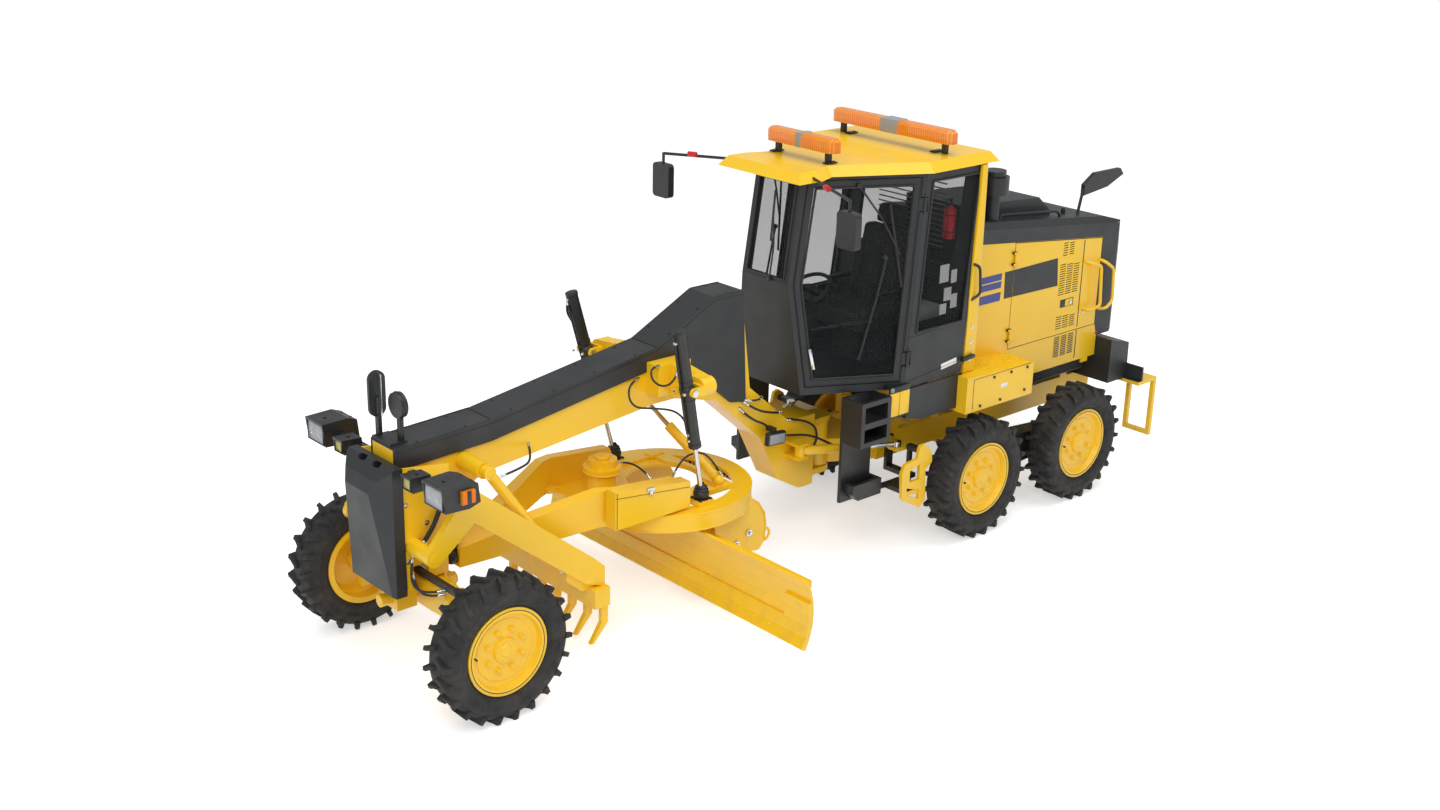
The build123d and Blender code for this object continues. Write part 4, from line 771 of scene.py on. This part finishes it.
def make_drawbar_details():
    top = MOTOR + UP * 0.055
    motor = bolts(circle_of(MOTOR, "z", 0.134, 12), UP, 0.01, 0.009)
    motor += bolts(circle_of(top, "z", 0.085, 8), UP, 0.009, 0.008)
    motor += [drum(top, top + UP * 0.03, 0.055, 40, 0.006), ring(MOTOR - UP * 0.04, "z", 0.148, 0.006, 64)]
    part("circle_motor_bolts", "drawbar", "yellow", motor)
    seam = [beam((-1.272, VALVE_BOX_FACE, 1.15), (-1.988, VALVE_BOX_FACE, 1.066), 0.004, 0.003)]
    seam += [beam((-1.286, VALVE_BOX_FACE, 0.905), (-1.286, VALVE_BOX_FACE, 1.19), 0.004, 0.003)]
    part("valve_box_seams", "drawbar", "black", seam)
    latch = [block((0.07, 0.01, 0.03), (MOTOR.x, 0.577, 1.145), 0.003, VALVE_BOX_TILT)]
    latch += [block((0.03, 0.012, 0.045), (MOTOR.x, 0.579, 1.118), 0.003, VALVE_BOX_TILT)]
    part("valve_box_latch", "drawbar", "chrome", latch)
    rim = [beam((-1.274, y, 1.201), (-1.986, y, 1.112), 0.012, 0.006, 0.002) for y in (0.468, 0.566)]
    part("valve_box_edges", "drawbar", "yellow", rim)
    wear = bolts([(x, s * 0.4, DRAWBAR_TOP) for x in (-2.48, -2.4) for s in (-1, 1)], UP, 0.016, 0.012)
    wear += bolts([(-1.33, s * y, DRAWBAR_TOP) for y in (0.3, 0.38) for s in (-1, 1)], UP, 0.016, 0.012)
    part("circle_shoe_bolts", "drawbar", "yellow", wear)
    shoes = []
    for s in (-1, 1):
        shoes.append(block((0.14, 0.1, 0.035), (-2.44, s * 0.4, 0.9205), 0.006))
        shoes.append(block((0.1, 0.12, 0.035), (-1.345, s * 0.34, 0.9205), 0.006))
    part("circle_shoes", "drawbar", "yellow", shoes)


def make_circle_details():
    teeth = []
    for spot in circle_of(CIRCLE_CENTRE, "z", TEETH_RADIUS, CIRCLE_TEETH):
        out = spot - CIRCLE_CENTRE
        heading = Vector((out.x, out.y)).angle_signed(Vector((1, 0)))
        centre = spot - out.normalized() * 0.01
        teeth.append(block((0.02, 0.016, 0.09), centre, 0.003, (0, 0, heading), 1))
    part("circle_teeth", "circle", "black", teeth)
    lips = [ring(CIRCLE_CENTRE - UP * 0.058, "z", LIP_RADIUS, 0.006, 128)]
    lips.append(ring(CIRCLE_CENTRE + UP * 0.074, "z", LIP_RADIUS, 0.005, 128))
    part("circle_lips", "circle", "yellow", lips)
    pins, rims = [], []
    for s in (-1, 1):
        out = LEFT * s
        for x, z, radius in ((-2.345, 0.47, 0.05), (-2.47, 0.455, 0.03), (-2.6, 0.52, 0.03)):
            foot = Vector((x, s * 0.575, z))
            pins.append(drum(foot, foot + out * 0.014, radius, 40, 0.003))
            pins.append(drum(foot + out * 0.014, foot + out * 0.032, radius * 0.55, 6, 0.002))
        for (x0, z0), (x1, z1) in zip(SIDE_PLATE_EDGE, SIDE_PLATE_EDGE[1:]):
            rims.append(beam((x0, s * 0.577, z0), (x1, s * 0.577, z1), 0.01, 0.01, 0.002))
        rims.append(ring((-2.79, s * 0.558, 0.45), "y", 0.05, 0.011, 32))
    part("blade_hinge_pins", "circle", "chrome", pins)
    part("side_plate_edges", "circle", "yellow", rims)
    blank = block((0.15, 0.003, 0.085), (-2.47, 0.5765, 0.73), 0.001)
    part("side_plate_blanks", "circle", "white", [blank])


def blade_bolt(angle, y, out):
    """Low round bolt head at an angle on the blade's hollow face, out from its surface."""
    normal = Vector((cos(radians(angle)), 0, -sin(radians(angle))))
    foot = Vector((BLADE_CENTRE_X, y, BLADE_CENTRE_Z)) - normal * (BLADE_HOLLOW - out)
    return drum(foot, foot + normal * 0.006, 0.013, 20, 0.002, 0.0091)


def make_blade_details():
    rows = [FIRST_EDGE_BOLT + index * EDGE_BOLT_STEP for index in range(EDGE_BOLTS)]
    heads = [blade_bolt(angle, y, 0.0155) for y in rows for angle in (-21.0, -26.0)]
    heads += [blade_bolt(angle, y, 0.024) for y in (-1.3, -1.24, 1.68, 1.74) for angle in (-4.0, 4.0)]
    part("blade_bolts", "blade", "yellow", heads)
    places = [FIRST_RIB + RIB_STEP * index for index in range(RIBS)]
    ribs = [block((0.05, 0.016, 0.24), (-2.17, y, 0.45), 0.003)
            for y in places if abs(abs(y) - 0.5) > 0.12]
    part("blade_ribs", "blade", "yellow", ribs)


make_axle_details()
make_post_bolts()
make_lamps()
make_cover_details()
make_lift_details()
make_drawbar_details()
make_circle_details()
make_blade_details()


# Hoses: name, diameter, length and the points that each is led past

HOSES = [
    ("lift_arm_hose", 0.016, 0.499,
     [(-1.824, 0.603, 2.031), (-1.8, 0.585, 1.94), (-1.765, 0.5, 1.885), (-1.745, 0.4, 1.915),
      (-1.79, 0.33, 1.985), (-1.893, 0.29, 1.966)]),
    ("lift_foot_hose", 0.016, 0.809,
     [(-1.829, 0.135, 1.837), (-1.69, 0.18, 1.835), (-1.68, 0.24, 1.67), (-1.85, 0.33, 1.655),
      (-1.96, 0.43, 1.64), (-1.985, 0.53, 1.56), (-1.95, 0.58, 1.496)]),
    ("lift_right_hose", 0.02, 0.293,
     [(-1.76, -0.64, 2.287), (-1.774, -0.68, 2.193), (-1.821, -0.68, 2.103), (-1.856, -0.634, 2.028)]),
    ("neck_hose_high", 0.016, 0.197,
     [(-2.928, 0.155, 1.433), (-3.02, 0.2, 1.412), (-3.112, 0.135, 1.412)]),
    ("neck_hose_upper", 0.02, 0.476,
     [(-2.911, 0.155, 1.418), (-3.006, 0.2, 1.336), (-3.207, 0.2, 1.274), (-3.326, 0.135, 1.232)]),
    ("neck_hose_lower", 0.02, 0.418,
     [(-2.879, 0.135, 1.362), (-2.964, 0.19, 1.266), (-3.1, 0.2, 1.204), (-3.2, 0.135, 1.133)]),
    ("hitch_hose_outer", 0.02, 0.492,
     [(-3.42, 0.135, 1.15), (-3.64, 0.2, 1.12), (-3.68, 0.25, 0.94), (-3.564, 0.262, 0.883)]),
    ("hitch_hose_inner", 0.02, 0.486,
     [(-3.347, 0.135, 1.021), (-3.502, 0.2, 1.023), (-3.639, 0.27, 0.985), (-3.752, 0.356, 0.905)]),
    ("valve_box_hose", 0.016, 0.64,
     [(-1.962, 0.4, 1.106), (-2.02, 0.42, 1.235), (-2.18, 0.425, 1.26), (-2.32, 0.42, 1.18),
      (-2.428, 0.43, 1.01)]),
    ("circle_motor_hose", 0.016, 0.335,
     [(-1.728, 0.05, 1.16), (-1.745, 0.22, 1.23), (-1.764, 0.366, 1.126)]),
    ("post_hose_long", 0.018, 0.423,
     [(0.272, 0.3, 1.05), (0.3, 0.31, 0.945), (0.3, 0.34, 0.84), (0.23, 0.39, 0.79),
      (0.124, 0.44, 0.799)]),
    ("post_hose_short", 0.018, 0.305,
     [(0.262, 0.272, 0.907), (0.275, 0.33, 0.815), (0.21, 0.39, 0.755), (0.12, 0.438, 0.77)]),
    ("post_conduit", 0.034, 0.324,
     [(0.01, 0.272, 1.36), (0.06, 0.3, 1.3), (0.12, 0.305, 1.2), (0.192, 0.285, 1.098)]),
    ("scarifier_hose_high", 0.018, 0.598,
     [(-0.362, 0.44, 1.518), (-0.54, 0.45, 1.543), (-0.72, 0.32, 1.523), (-0.82, 0.135, 1.56)]),
]
ON_DRAWBAR = ("valve_box_hose", "circle_motor_hose")
SLEEVE = 0.045


def make_hose(name, diameter, length, route):
    """A curve led past the points, with a crimped sleeve and a nut at both ends."""
    data = round_curve(name, diameter / 2, 8)
    line = data.splines.new("NURBS")
    line.points.add(len(route) - 1)
    for knot, point in zip(line.points, route):
        knot.co = (*place(point), 1)
    line.order_u = 3
    line.use_endpoint_u = True
    data.materials.append(FINISHES["black"].material)
    piece = linked(name, data)
    body = "drawbar" if name in ON_DRAWBAR else "front"
    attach(piece, body)
    sleeves = []
    for end, inner in ((route[0], route[1]), (route[-1], route[-2])):
        foot = Vector(end)
        along = (Vector(inner) - foot).normalized()
        sleeves.append(drum(foot - along * 0.004, foot + along * SLEEVE, diameter * 0.62, 24, 0.002))
        sleeves.append(drum(foot - along * 0.016, foot + along * 0.002, diameter * 0.78, 6, 0.002))
    ends = part(f"{name}_ends", body, "chrome", sleeves)


NECK_LAMP_X, NECK_LAMP_Z = -3.18, 1.075
NECK_LAMP_TILT = (0, radians(-4), 0)


def make_neck_details():
    """Work lamp low on the neck."""
    lamp = [block((0.2, 0.05, 0.11), (NECK_LAMP_X, 0.24, NECK_LAMP_Z), 0.012, NECK_LAMP_TILT, 3)]
    lamp.append(block((0.04, 0.09, 0.04), (NECK_LAMP_X, 0.19, 1.14), 0.004))
    part("neck_lamp", "front", "black", lamp)
    lens = block((0.165, 0.004, 0.08), (NECK_LAMP_X, 0.2665, NECK_LAMP_Z), 0.0015, NECK_LAMP_TILT)
    part("neck_lamp_lens", "front", "clear", [lens], slot="glass")


# Cab

DOOR_NORMAL = Vector((0.4566, 0.8869, 0.0709))
DOOR_GLASS = [(-3.4, 1.575), (-3.332, 2.345), (-3.45, 3.105), (-4.18, 3.105), (-4.015, 1.575)]
DOOR_EDGE = [(-3.352, 1.522), (-3.284, 2.35), (-3.402, 3.16), (-4.228, 3.16), (-4.056, 1.522)]
SIDE_WINDOW = [(-4.213, 1.9), (-4.774, 1.9), (-4.912, 3.125), (-4.342, 3.125)]
WINDSCREEN = [(-3.237, -0.213, 2.385), (-3.237, 0.213, 2.385), (-3.347, 0.21, 3.135), (-3.347, -0.21, 3.135)]
REAR_POST = [(-4.905, 3.19), (-4.962, 3.19), (-4.975, 2.0), (-4.975, 1.43), (-4.835, 1.43), (-4.85, 2.07)]
REAR_POST_FACE = 0.776


def side_y(z):
    """How far out the cab's side wall is at a height."""
    return 0.78 - 0.045 * (z - 1.45) / 1.75


def side_point(x, z, out=0.0):
    """Point on the left side wall of the cab."""
    return Vector((x, side_y(z) + out, z))


def door_point(x, z, out=0.0):
    """Point on the face of the left door."""
    y = 0.78 - (0.85 * (x + 4.1) + 0.132 * (z - 1.48)) / 1.651
    return Vector((x, y, z)) + DOOR_NORMAL * out


def door_rail(points, radius):
    """Bent round bar through points on the left door."""
    return rail([door_point(*point) for point in points], radius)


def frame_line(spots, radius):
    """Closed line of round rubber through the points."""
    return [rail([start, end], radius) for start, end in zip(spots, spots[1:] + spots[:1])]


def make_doors():
    rubber = frame_line([door_point(x, z, 0.003) for x, z in DOOR_GLASS], 0.01)
    rubber += frame_line([door_point(x, z, 0.001) for x, z in DOOR_EDGE], 0.005)
    wiper = [door_rail([(-3.76, 3.12, 0.022), (-3.93, 2.85, 0.026), (-4.06, 2.56, 0.022)], 0.008)]
    wiper.append(door_rail([(-3.99, 2.96, 0.018), (-4.07, 2.3, 0.018)], 0.009))
    wiper.append(door_rail([(-3.96, 2.54, 0.02), (-3.876, 2.2, 0.024), (-3.742, 1.72, 0.02)], 0.009))
    wiper.append(drum(door_point(-3.76, 3.12), door_point(-3.76, 3.12, 0.035), 0.02, 24, 0.003))
    wiper.append(drum(door_point(-3.95, 2.545), door_point(-3.95, 2.545, 0.035), 0.018, 24, 0.003))
    lever = [beam(door_point(-3.38, 1.835, 0.028), door_point(-3.405, 1.665, 0.028), 0.014, 0.026, 0.004)]
    for x, z in ((-3.384, 1.81), (-3.402, 1.69)):
        lever.append(drum(door_point(x, z), door_point(x, z, 0.03), 0.01, 20))
    inner = door_rail([(-3.44, 1.96, -0.07), (-3.44, 1.96, -0.12), (-3.88, 2.0, -0.12),
                       (-3.88, 2.0, -0.07)], 0.012)
    two_parts("door_rubber", "cab_door_*", "black", rubber)
    two_parts("door_wiper", "cab_door_*", "black", wiper)
    two_parts("door_lever", "cab_door_*", "chrome", lever)
    two_parts("door_inner_rail", "cab_door_*", "black", [inner])


def make_cab_trim():
    rubber = both(frame_line([side_point(x, z, 0.002) for x, z in SIDE_WINDOW], 0.01))
    rubber += frame_line([Vector(spot) for spot in WINDSCREEN], 0.009)
    part("window_rubber", "rear", "black", rubber)
    wiper = [rail([(-3.228, 0.06, 2.37), (-3.246, 0.08, 2.64), (-3.286, 0.02, 2.88)], 0.007),
             beam((-3.258, 0.03, 2.66), (-3.312, 0.01, 3.06), 0.016, 0.01, 0.002),
             drum((-3.25, 0.06, 2.365), (-3.215, 0.06, 2.365), 0.02, 24, 0.003)]
    part("front_wiper", "rear", "black", wiper)
    part("rear_posts", "rear", "yellow", both([plate(REAR_POST, "y", (0.742, REAR_POST_FACE), 0.004)]))
    heads = bolts([(-4.905, REAR_POST_FACE, z) for z in (1.82, 1.69, 1.54)], LEFT, 0.013, 0.007)
    part("rear_post_bolts", "rear", "chrome", both(heads))
    grab = [rail([(-4.87, 0.77, 2.37), (-4.905, 0.815, 2.35), (-4.935, 0.815, 2.11), (-4.87, 0.77, 2.06)],
                 0.012)]
    grab.append(block((0.15, 0.04, 0.032), (-4.86, 0.792, 1.565), 0.006, (0, radians(4), 0)))
    part("grab_handles", "rear", "black", both(grab))
    seam = [beam(side_point(-4.15, 1.5, 0.001), side_point(-4.72, 1.56, 0.001), 0.005, 0.003)]
    seam.append(beam(side_point(-4.13, 1.87, 0.001), side_point(-4.78, 1.9, 0.001), 0.005, 0.003))
    part("cab_seams", "rear", "black", both(seam))
    blank = block((0.19, 0.003, 0.05), (-4.635, side_y(1.56) + 0.0015, 1.555), 0.001, (0, radians(7), 0))
    part("cab_plate", "rear", "white", [blank])
    glass = block((0.003, 0.165, 0.245), (-3.0915, 1.06, 2.98), 0.001)
    part("cab_mirror_faces", "rear", "chrome", both([glass]))
    clamp = drum((-3.13, 0.73, 3.235), (-3.1, 0.8, 3.235), 0.022, 20, 0.003)
    part("mirror_clamps", "rear", "red", both([clamp]))


SEAT_BACK = [(-4.5, 1.93), (-4.645, 1.93), (-4.765, 2.555), (-4.62, 2.57)]
SEAT_WING = [(-4.455, 1.96), (-4.6, 1.96), (-4.7, 2.42), (-4.58, 2.43)]
HEAD_REST = [(-4.63, 2.59), (-4.74, 2.58), (-4.765, 2.74), (-4.67, 2.75)]
SLATS, SLAT_STEP = 14, 0.045
BOTTLE_FOOT = Vector((-4.78, 0.56, 2.56))
BOTTLE = [(0.0, 0.0), (0.0, 0.046), (0.01, 0.052), (0.23, 0.052), (0.262, 0.03), (0.275, 0.014)]
BOTTLE += [(0.275, 0.0)]
SHEETS = [((-4.56, 2.33), (0.11, 0.15)), ((-4.68, 2.29), (0.07, 0.11)), ((-4.61, 2.15), (0.09, 0.11)),
          ((-4.56, 2.03), (0.08, 0.09)), ((-4.69, 2.08), (0.08, 0.12))]


def make_interior():
    seat = [block((0.53, 0.53, 0.17), (-4.37, 0.0, 1.855), 0.055, segments=4)]
    seat += both([block((0.5, 0.08, 0.2), (-4.36, 0.225, 1.88), 0.035, segments=4)])
    cushion = part("seat_cushion", "rear", "seat", seat)
    back = [plate(SEAT_BACK, "y", (-0.255, 0.255), 0.04)]
    back += both([plate(SEAT_WING, "y", (0.195, 0.275), 0.03)])
    back.append(plate(HEAD_REST, "y", (-0.14, 0.14), 0.035))
    padding = part("seat_back", "rear", "seat", back)
    arms = both([block((0.3, 0.06, 0.05), (-4.42, 0.3, 2.11), 0.018, segments=3)])
    arms += both([rail([(-4.56, 0.3, 2.09), (-4.58, 0.29, 1.9)], 0.014)])
    arms += [rail([(-4.7, y, 2.52), (-4.715, y, 2.62)], 0.009) for y in (-0.06, 0.06)]
    part("seat_arms", "rear", "black", arms)
    levers = []
    for y in (-0.18, -0.14, 0.14, 0.18, 0.22):
        levers.append(rail([(-3.76, y * 0.7, 2.06), (-3.79, y, 2.18), (-3.8, y * 1.05, 2.24)], 0.006))
        levers.append(globe((-3.8, y * 1.05, 2.25), 0.017))
    levers.append(block((0.22, 0.3, 0.06), (-3.64, 0.0, 2.14), 0.015, (0, radians(-25), 0), 3))
    levers.append(ring((-3.74, 0.0, 2.195), "z", 0.06, 0.01, 32))
    part("console_levers", "rear", "black", levers)
    part("extinguisher", "rear", "red", [lathe(BOTTLE, BOTTLE_FOOT, "z", 32)])
    valve = [drum(BOTTLE_FOOT + UP * 0.27, BOTTLE_FOOT + UP * 0.32, 0.014, 16, 0.002)]
    valve += [block((0.09, 0.014, 0.012), (-4.76, BOTTLE_FOOT.y, 2.888), 0.003)]
    valve += [ring(BOTTLE_FOOT + UP * rise, "z", 0.054, 0.005, 32) for rise in (0.06, 0.2)]
    part("extinguisher_valve", "rear", "black", valve)
    box = block((0.28, 0.18, 0.11), (-4.56, 0.5, 1.96), 0.012, segments=3)
    part("shelf_box", "rear", "grey", [box])
    sheets = [block((width, 0.002, height), (x, side_y(z) - 0.028, z)) for (x, z), (width, height) in SHEETS]
    part("window_sheets", "rear", "white", sheets)
    slats = [block((0.006, 0.76, 0.012), (-4.93, 0.0, 2.42 + SLAT_STEP * index), 0.002, segments=1)
             for index in range(SLATS)]
    part("rear_slats", "rear", "grey", slats)


FRONT_LIGHTS_X, REAR_LIGHTS_X, LIGHTS_Z = -3.61, -4.65, 3.425


def make_roof_details():
    middle = [block((0.136, width, 0.116), (x, 0.0, LIGHTS_Z), 0.006)
              for x, width in ((REAR_LIGHTS_X, 0.19), (FRONT_LIGHTS_X, 0.06))]
    part("light_bar_middle", "rear", "grey", middle, slot="black")
    feet = []
    for x, half in ((FRONT_LIGHTS_X, 0.3), (REAR_LIGHTS_X, 0.48)):
        for side in (-1, 1):
            feet.append(block((0.11, 0.06, 0.01), (x, side * half, 3.288), 0.002))
            feet += bolts([(x + step, side * half, 3.293) for step in (-0.04, 0.04)], UP, 0.007, 0.006)
    part("light_bar_feet", "rear", "black", feet)


# Hood, tool boxes and steps

HOOD_FACE = 0.545
RAIL_STAND = 0.61
LOCK_Z = 1.695
LOUVRE_COLUMNS, LOUVRE_COLUMN_STEP = 3, 0.102
LOUVRE_ROWS, LOUVRE_ROW_STEP = 11, 0.018
STRIPE_HEIGHTS = ((2.07, 2.13), (2.0, 2.058), (1.885, 1.962))
FRONT_PANEL = [(-5.59, 1.89), (-5.58, 2.13), (-5.692, 2.131), (-5.692, 1.889)]
DOOR_PANEL = [(-5.703, 1.889), (-5.703, 2.131), (-6.31, 2.14), (-6.34, 1.88)]
CROWN = [(-5.192, 2.432), (-6.96, 2.238), (-7.18, 2.238), (-7.18, 2.34), (-7.0, 2.363), (-5.192, 2.556)]
CAP_RAIL = [(-5.6, 2.555), (-5.625, 2.605), (-6.41, 2.53), (-6.45, 2.478)]
DOOR_RAIL = [(-6.735, 2.035, False), (-6.735, 2.035, True), (-6.89, 1.99, True), (-6.925, 1.6, True)]
DOOR_RAIL += [(-6.75, 1.59, True), (-6.75, 1.59, False)]
REAR_RAIL = [(-6.962, 2.02, False), (-6.962, 2.01, True), (-7.085, 1.93, True), (-7.11, 1.62, True)]
REAR_RAIL += [(-7.02, 1.56, True), (-6.99, 1.55, False)]


def sheet(outline):
    """Thin plate on the hood's left side."""
    return plate(outline, "y", (HOOD_FACE, HOOD_FACE + 0.002))


def patch(width, height, x, z, out=0.0005, thick=0.003, bevel=0.0):
    """Thin block on the hood's left side."""
    return block((width, thick, height), (x, HOOD_FACE + out, z), bevel)


def hood_rail(route):
    """Hand rail beside the hood: the points that stand off it are marked True."""
    return rail([(x, RAIL_STAND if off else HOOD_FACE, z) for x, z, off in route], 0.015)


def make_hood_side():
    """Stripes, blank dark panel, seams, lock, black strips of painted shade in the louvre slots and hand
    rails of both sides.
    """
    blue = [sheet([(-5.245, low), (-5.535, low), (-5.54, high), (-5.245, high)])
            for low, high in STRIPE_HEIGHTS]
    two_parts("hood_stripes", "rear", "blue", blue)
    two_parts("name_panel", "rear", "dark", [sheet(FRONT_PANEL)])
    two_parts("name_panel_door", "hood_door_*", "dark", [sheet(DOOR_PANEL)])
    # Black strips over the low louvre slots: painted shade for the dark inside of each slot.
    slot_shades = [patch(0.078, 0.009, -6.405 - LOUVRE_COLUMN_STEP * column, 1.2 + LOUVRE_ROW_STEP * row)
               for column in range(LOUVRE_COLUMNS) for row in range(LOUVRE_ROWS)]
    two_parts("louvre_slot_shade", "rear", "black", slot_shades)
    two_parts("hood_seam", "rear", "black", [patch(0.01, 0.27, -6.69, 1.265)])
    two_parts("hood_seam_door", "hood_door_*", "black", [patch(0.01, 0.82, -6.69, 1.84)])
    two_parts("lock_recess_door", "hood_door_*", "black", [patch(0.19, 0.074, -6.5, LOCK_Z, bevel=0.001)])
    lock = patch(0.105, 0.062, -6.53, LOCK_Z, thick=0.005, bevel=0.001)
    two_parts("lock_plate_door", "hood_door_*", "yellow", [lock])
    knob = [drum((-6.545, HOOD_FACE, LOCK_Z), (-6.545, HOOD_FACE + 0.014, LOCK_Z), 0.019, 32, 0.004)]
    knob += bolts([(-6.76, HOOD_FACE, z) for z in (2.035, 1.56)], LEFT, 0.012, 0.006)
    two_parts("lock_knob_door", "hood_door_*", "chrome", knob)
    two_parts("hood_rail_door", "hood_door_*", "yellow", [hood_rail(DOOR_RAIL)])
    two_parts("hood_rail", "rear", "yellow", [hood_rail(REAR_RAIL)])
    cap = [rail([(x, 0.42, z) for x, z in CAP_RAIL], 0.012)]
    cap.append(drum((-6.655, 0.3, 2.45), (-6.655, 0.3, 2.505), 0.02, 20, 0.004))
    two_parts("cap_rail", "rear", "black", cap)
    two_parts("crown", "rear", "dark", [sheet(CROWN)])
    fins = [block((1.16, 0.02, 0.008), (-6.28, 0.525, 1.01 + 0.018 * row), 0.001, segments=1)
            for row in range(5)]
    fins.append(block((1.16, 0.006, 0.11), (-6.28, 0.512, 1.045)))
    two_parts("low_fins", "rear", "black", fins)
    mark = patch(0.03, 0.022, -6.995, 1.315, out=0.002, thick=0.004, bevel=0.001)
    two_parts("hood_mark", "rear", "red", [mark])


TOOLBOX_FACE = 0.9
STUD_COLUMNS, STUD_COLUMN_STEP = 11, 0.052
STUD_ROWS, STUD_ROW_STEP = 5, 0.05
CATCHES = [(-5.097, 1.372), (-5.322, 1.372), (-5.538, 1.372), (-5.52, 1.17), (-5.197, 1.15), (-4.934, 1.15)]


def make_toolbox_details():
    studs = []
    for column in range(STUD_COLUMNS):
        for row in range(STUD_ROWS):
            lean = radians(45 if (row + column) % 2 else -45)
            spot = (-5.08 - STUD_COLUMN_STEP * column, 0.61 + STUD_ROW_STEP * row, 1.4315)
            studs.append(block((0.032, 0.008, 0.004), spot, 0.001, (0, 0, lean), 1))
    part("tread_studs", "rear", "yellow", both(studs))
    corner = (-4.836, TOOLBOX_FACE, 1.4)
    seams = [beam(corner, (x, TOOLBOX_FACE, z), 0.005, 0.003) for x, z in ((-4.836, 1.135), (-5.59, 1.4))]
    part("toolbox_seams", "rear", "black", both(seams))
    heads = [drum((x, TOOLBOX_FACE, z), (x, TOOLBOX_FACE + 0.01, z), 0.013, 20, 0.003) for x, z in CATCHES]
    part("toolbox_catches", "rear", "black", both(heads))
    blank = block((0.09, 0.003, 0.036), (-5.24, TOOLBOX_FACE + 0.001, 1.27), 0.001)
    part("toolbox_plate", "rear", "white", both([blank]))


def make_step_plates():
    plates = [block((0.112, 0.003, 0.2), (x, 0.8065, 1.345), 0.001) for x in (-3.962, -4.08)]
    part("step_plates", "rear", "yellow", both(plates))
    backing = [block((0.25, 0.012, 0.27), (-4.021, 0.799, 1.36), 0.003)]
    backing += [block((0.03, 0.1, 0.03), (x, 0.75, 1.48), 0.003) for x in (-3.95, -4.09)]
    part("step_plate_backing", "rear", "black", both(backing))
    lamp = drum((-3.93, 0.803, 1.475), (-3.93, 0.812, 1.475), 0.02, 24, 0.003)
    part("step_lamp", "rear", "grey", both([lamp]))


for row in HOSES:
    make_hose(*row)
make_neck_details()
make_doors()
make_cab_trim()
make_interior()
make_roof_details()
make_hood_side()
make_toolbox_details()
make_step_plates()


# Stage, light and camera

FLOOR_SIZE, FLOOR_DROP = 400, 0.001
FLOOR_GLOW = 0.5
STUDIO_LIGHT, STUDIO_SEEN = 0.55, 1.0
WHITE = (1.0, 1.0, 1.0, 1.0)
LIGHTS = (("key", (9, 7, 10), 7, 620), ("top", (-2, 2, 13), 9, 600))
LIGHT_AIM = Vector((0, 0, 1))


def make_stage():
    bpy.ops.mesh.primitive_plane_add(size=FLOOR_SIZE, location=(0, 0, -FLOOR_DROP))
    floor = bpy.context.object
    floor.name = "floor"
    paper = Paint("pale_floor", (0.95, 0.95, 0.95), 0.95, Emission_Color=WHITE)
    rays = paper.tree.nodes.new("ShaderNodeLightPath")
    seen = [Value(paper, rays.outputs[f"Is {kind} Ray"]) for kind in ("Camera", "Glossy", "Transmission")]
    paper.set("Emission Strength", (seen[0] + seen[1] + seen[2]) * FLOOR_GLOW)
    floor.data.materials.append(paper.material)
    world = bpy.data.worlds.new("studio")
    bpy.context.scene.world = world
    world.use_nodes = True
    background = world.node_tree.nodes["Background"]
    path = world.node_tree.nodes.new("ShaderNodeLightPath")
    level = world.node_tree.nodes.new("ShaderNodeMix")
    level.inputs["A"].default_value = STUDIO_LIGHT
    level.inputs["B"].default_value = STUDIO_SEEN
    world.node_tree.links.new(path.outputs["Is Camera Ray"], level.inputs["Factor"])
    world.node_tree.links.new(level.outputs["Result"], background.inputs["Strength"])
    background.inputs["Color"].default_value = WHITE
    for name, spot, size, power in LIGHTS:
        lamp = bpy.data.lights.new(name, "AREA")
        lamp.size = size
        lamp.energy = power
        holder = linked(name, lamp)
        holder.location = spot
        holder.rotation_euler = (LIGHT_AIM - Vector(spot)).to_track_quat("-Z", "Y").to_euler()


def make_camera():
    level = Matrix.Rotation(CAMERA_YAW - pi / 2, 4, "Z") @ Matrix.Rotation(CAMERA_PITCH + pi / 2, 4, "X")
    turn = level @ Matrix.Rotation(CAMERA_ROLL, 4, "Z")
    data = bpy.data.cameras.new("camera")
    data.lens = CAMERA_LENS
    data.sensor_width = SENSOR_WIDTH
    camera = linked("camera", data)
    camera.matrix_world = Matrix.Translation(CAMERA_PLACE) @ turn
    bpy.context.scene.camera = camera


make_stage()
make_camera()
bpy.context.scene.view_settings.view_transform = "Standard"
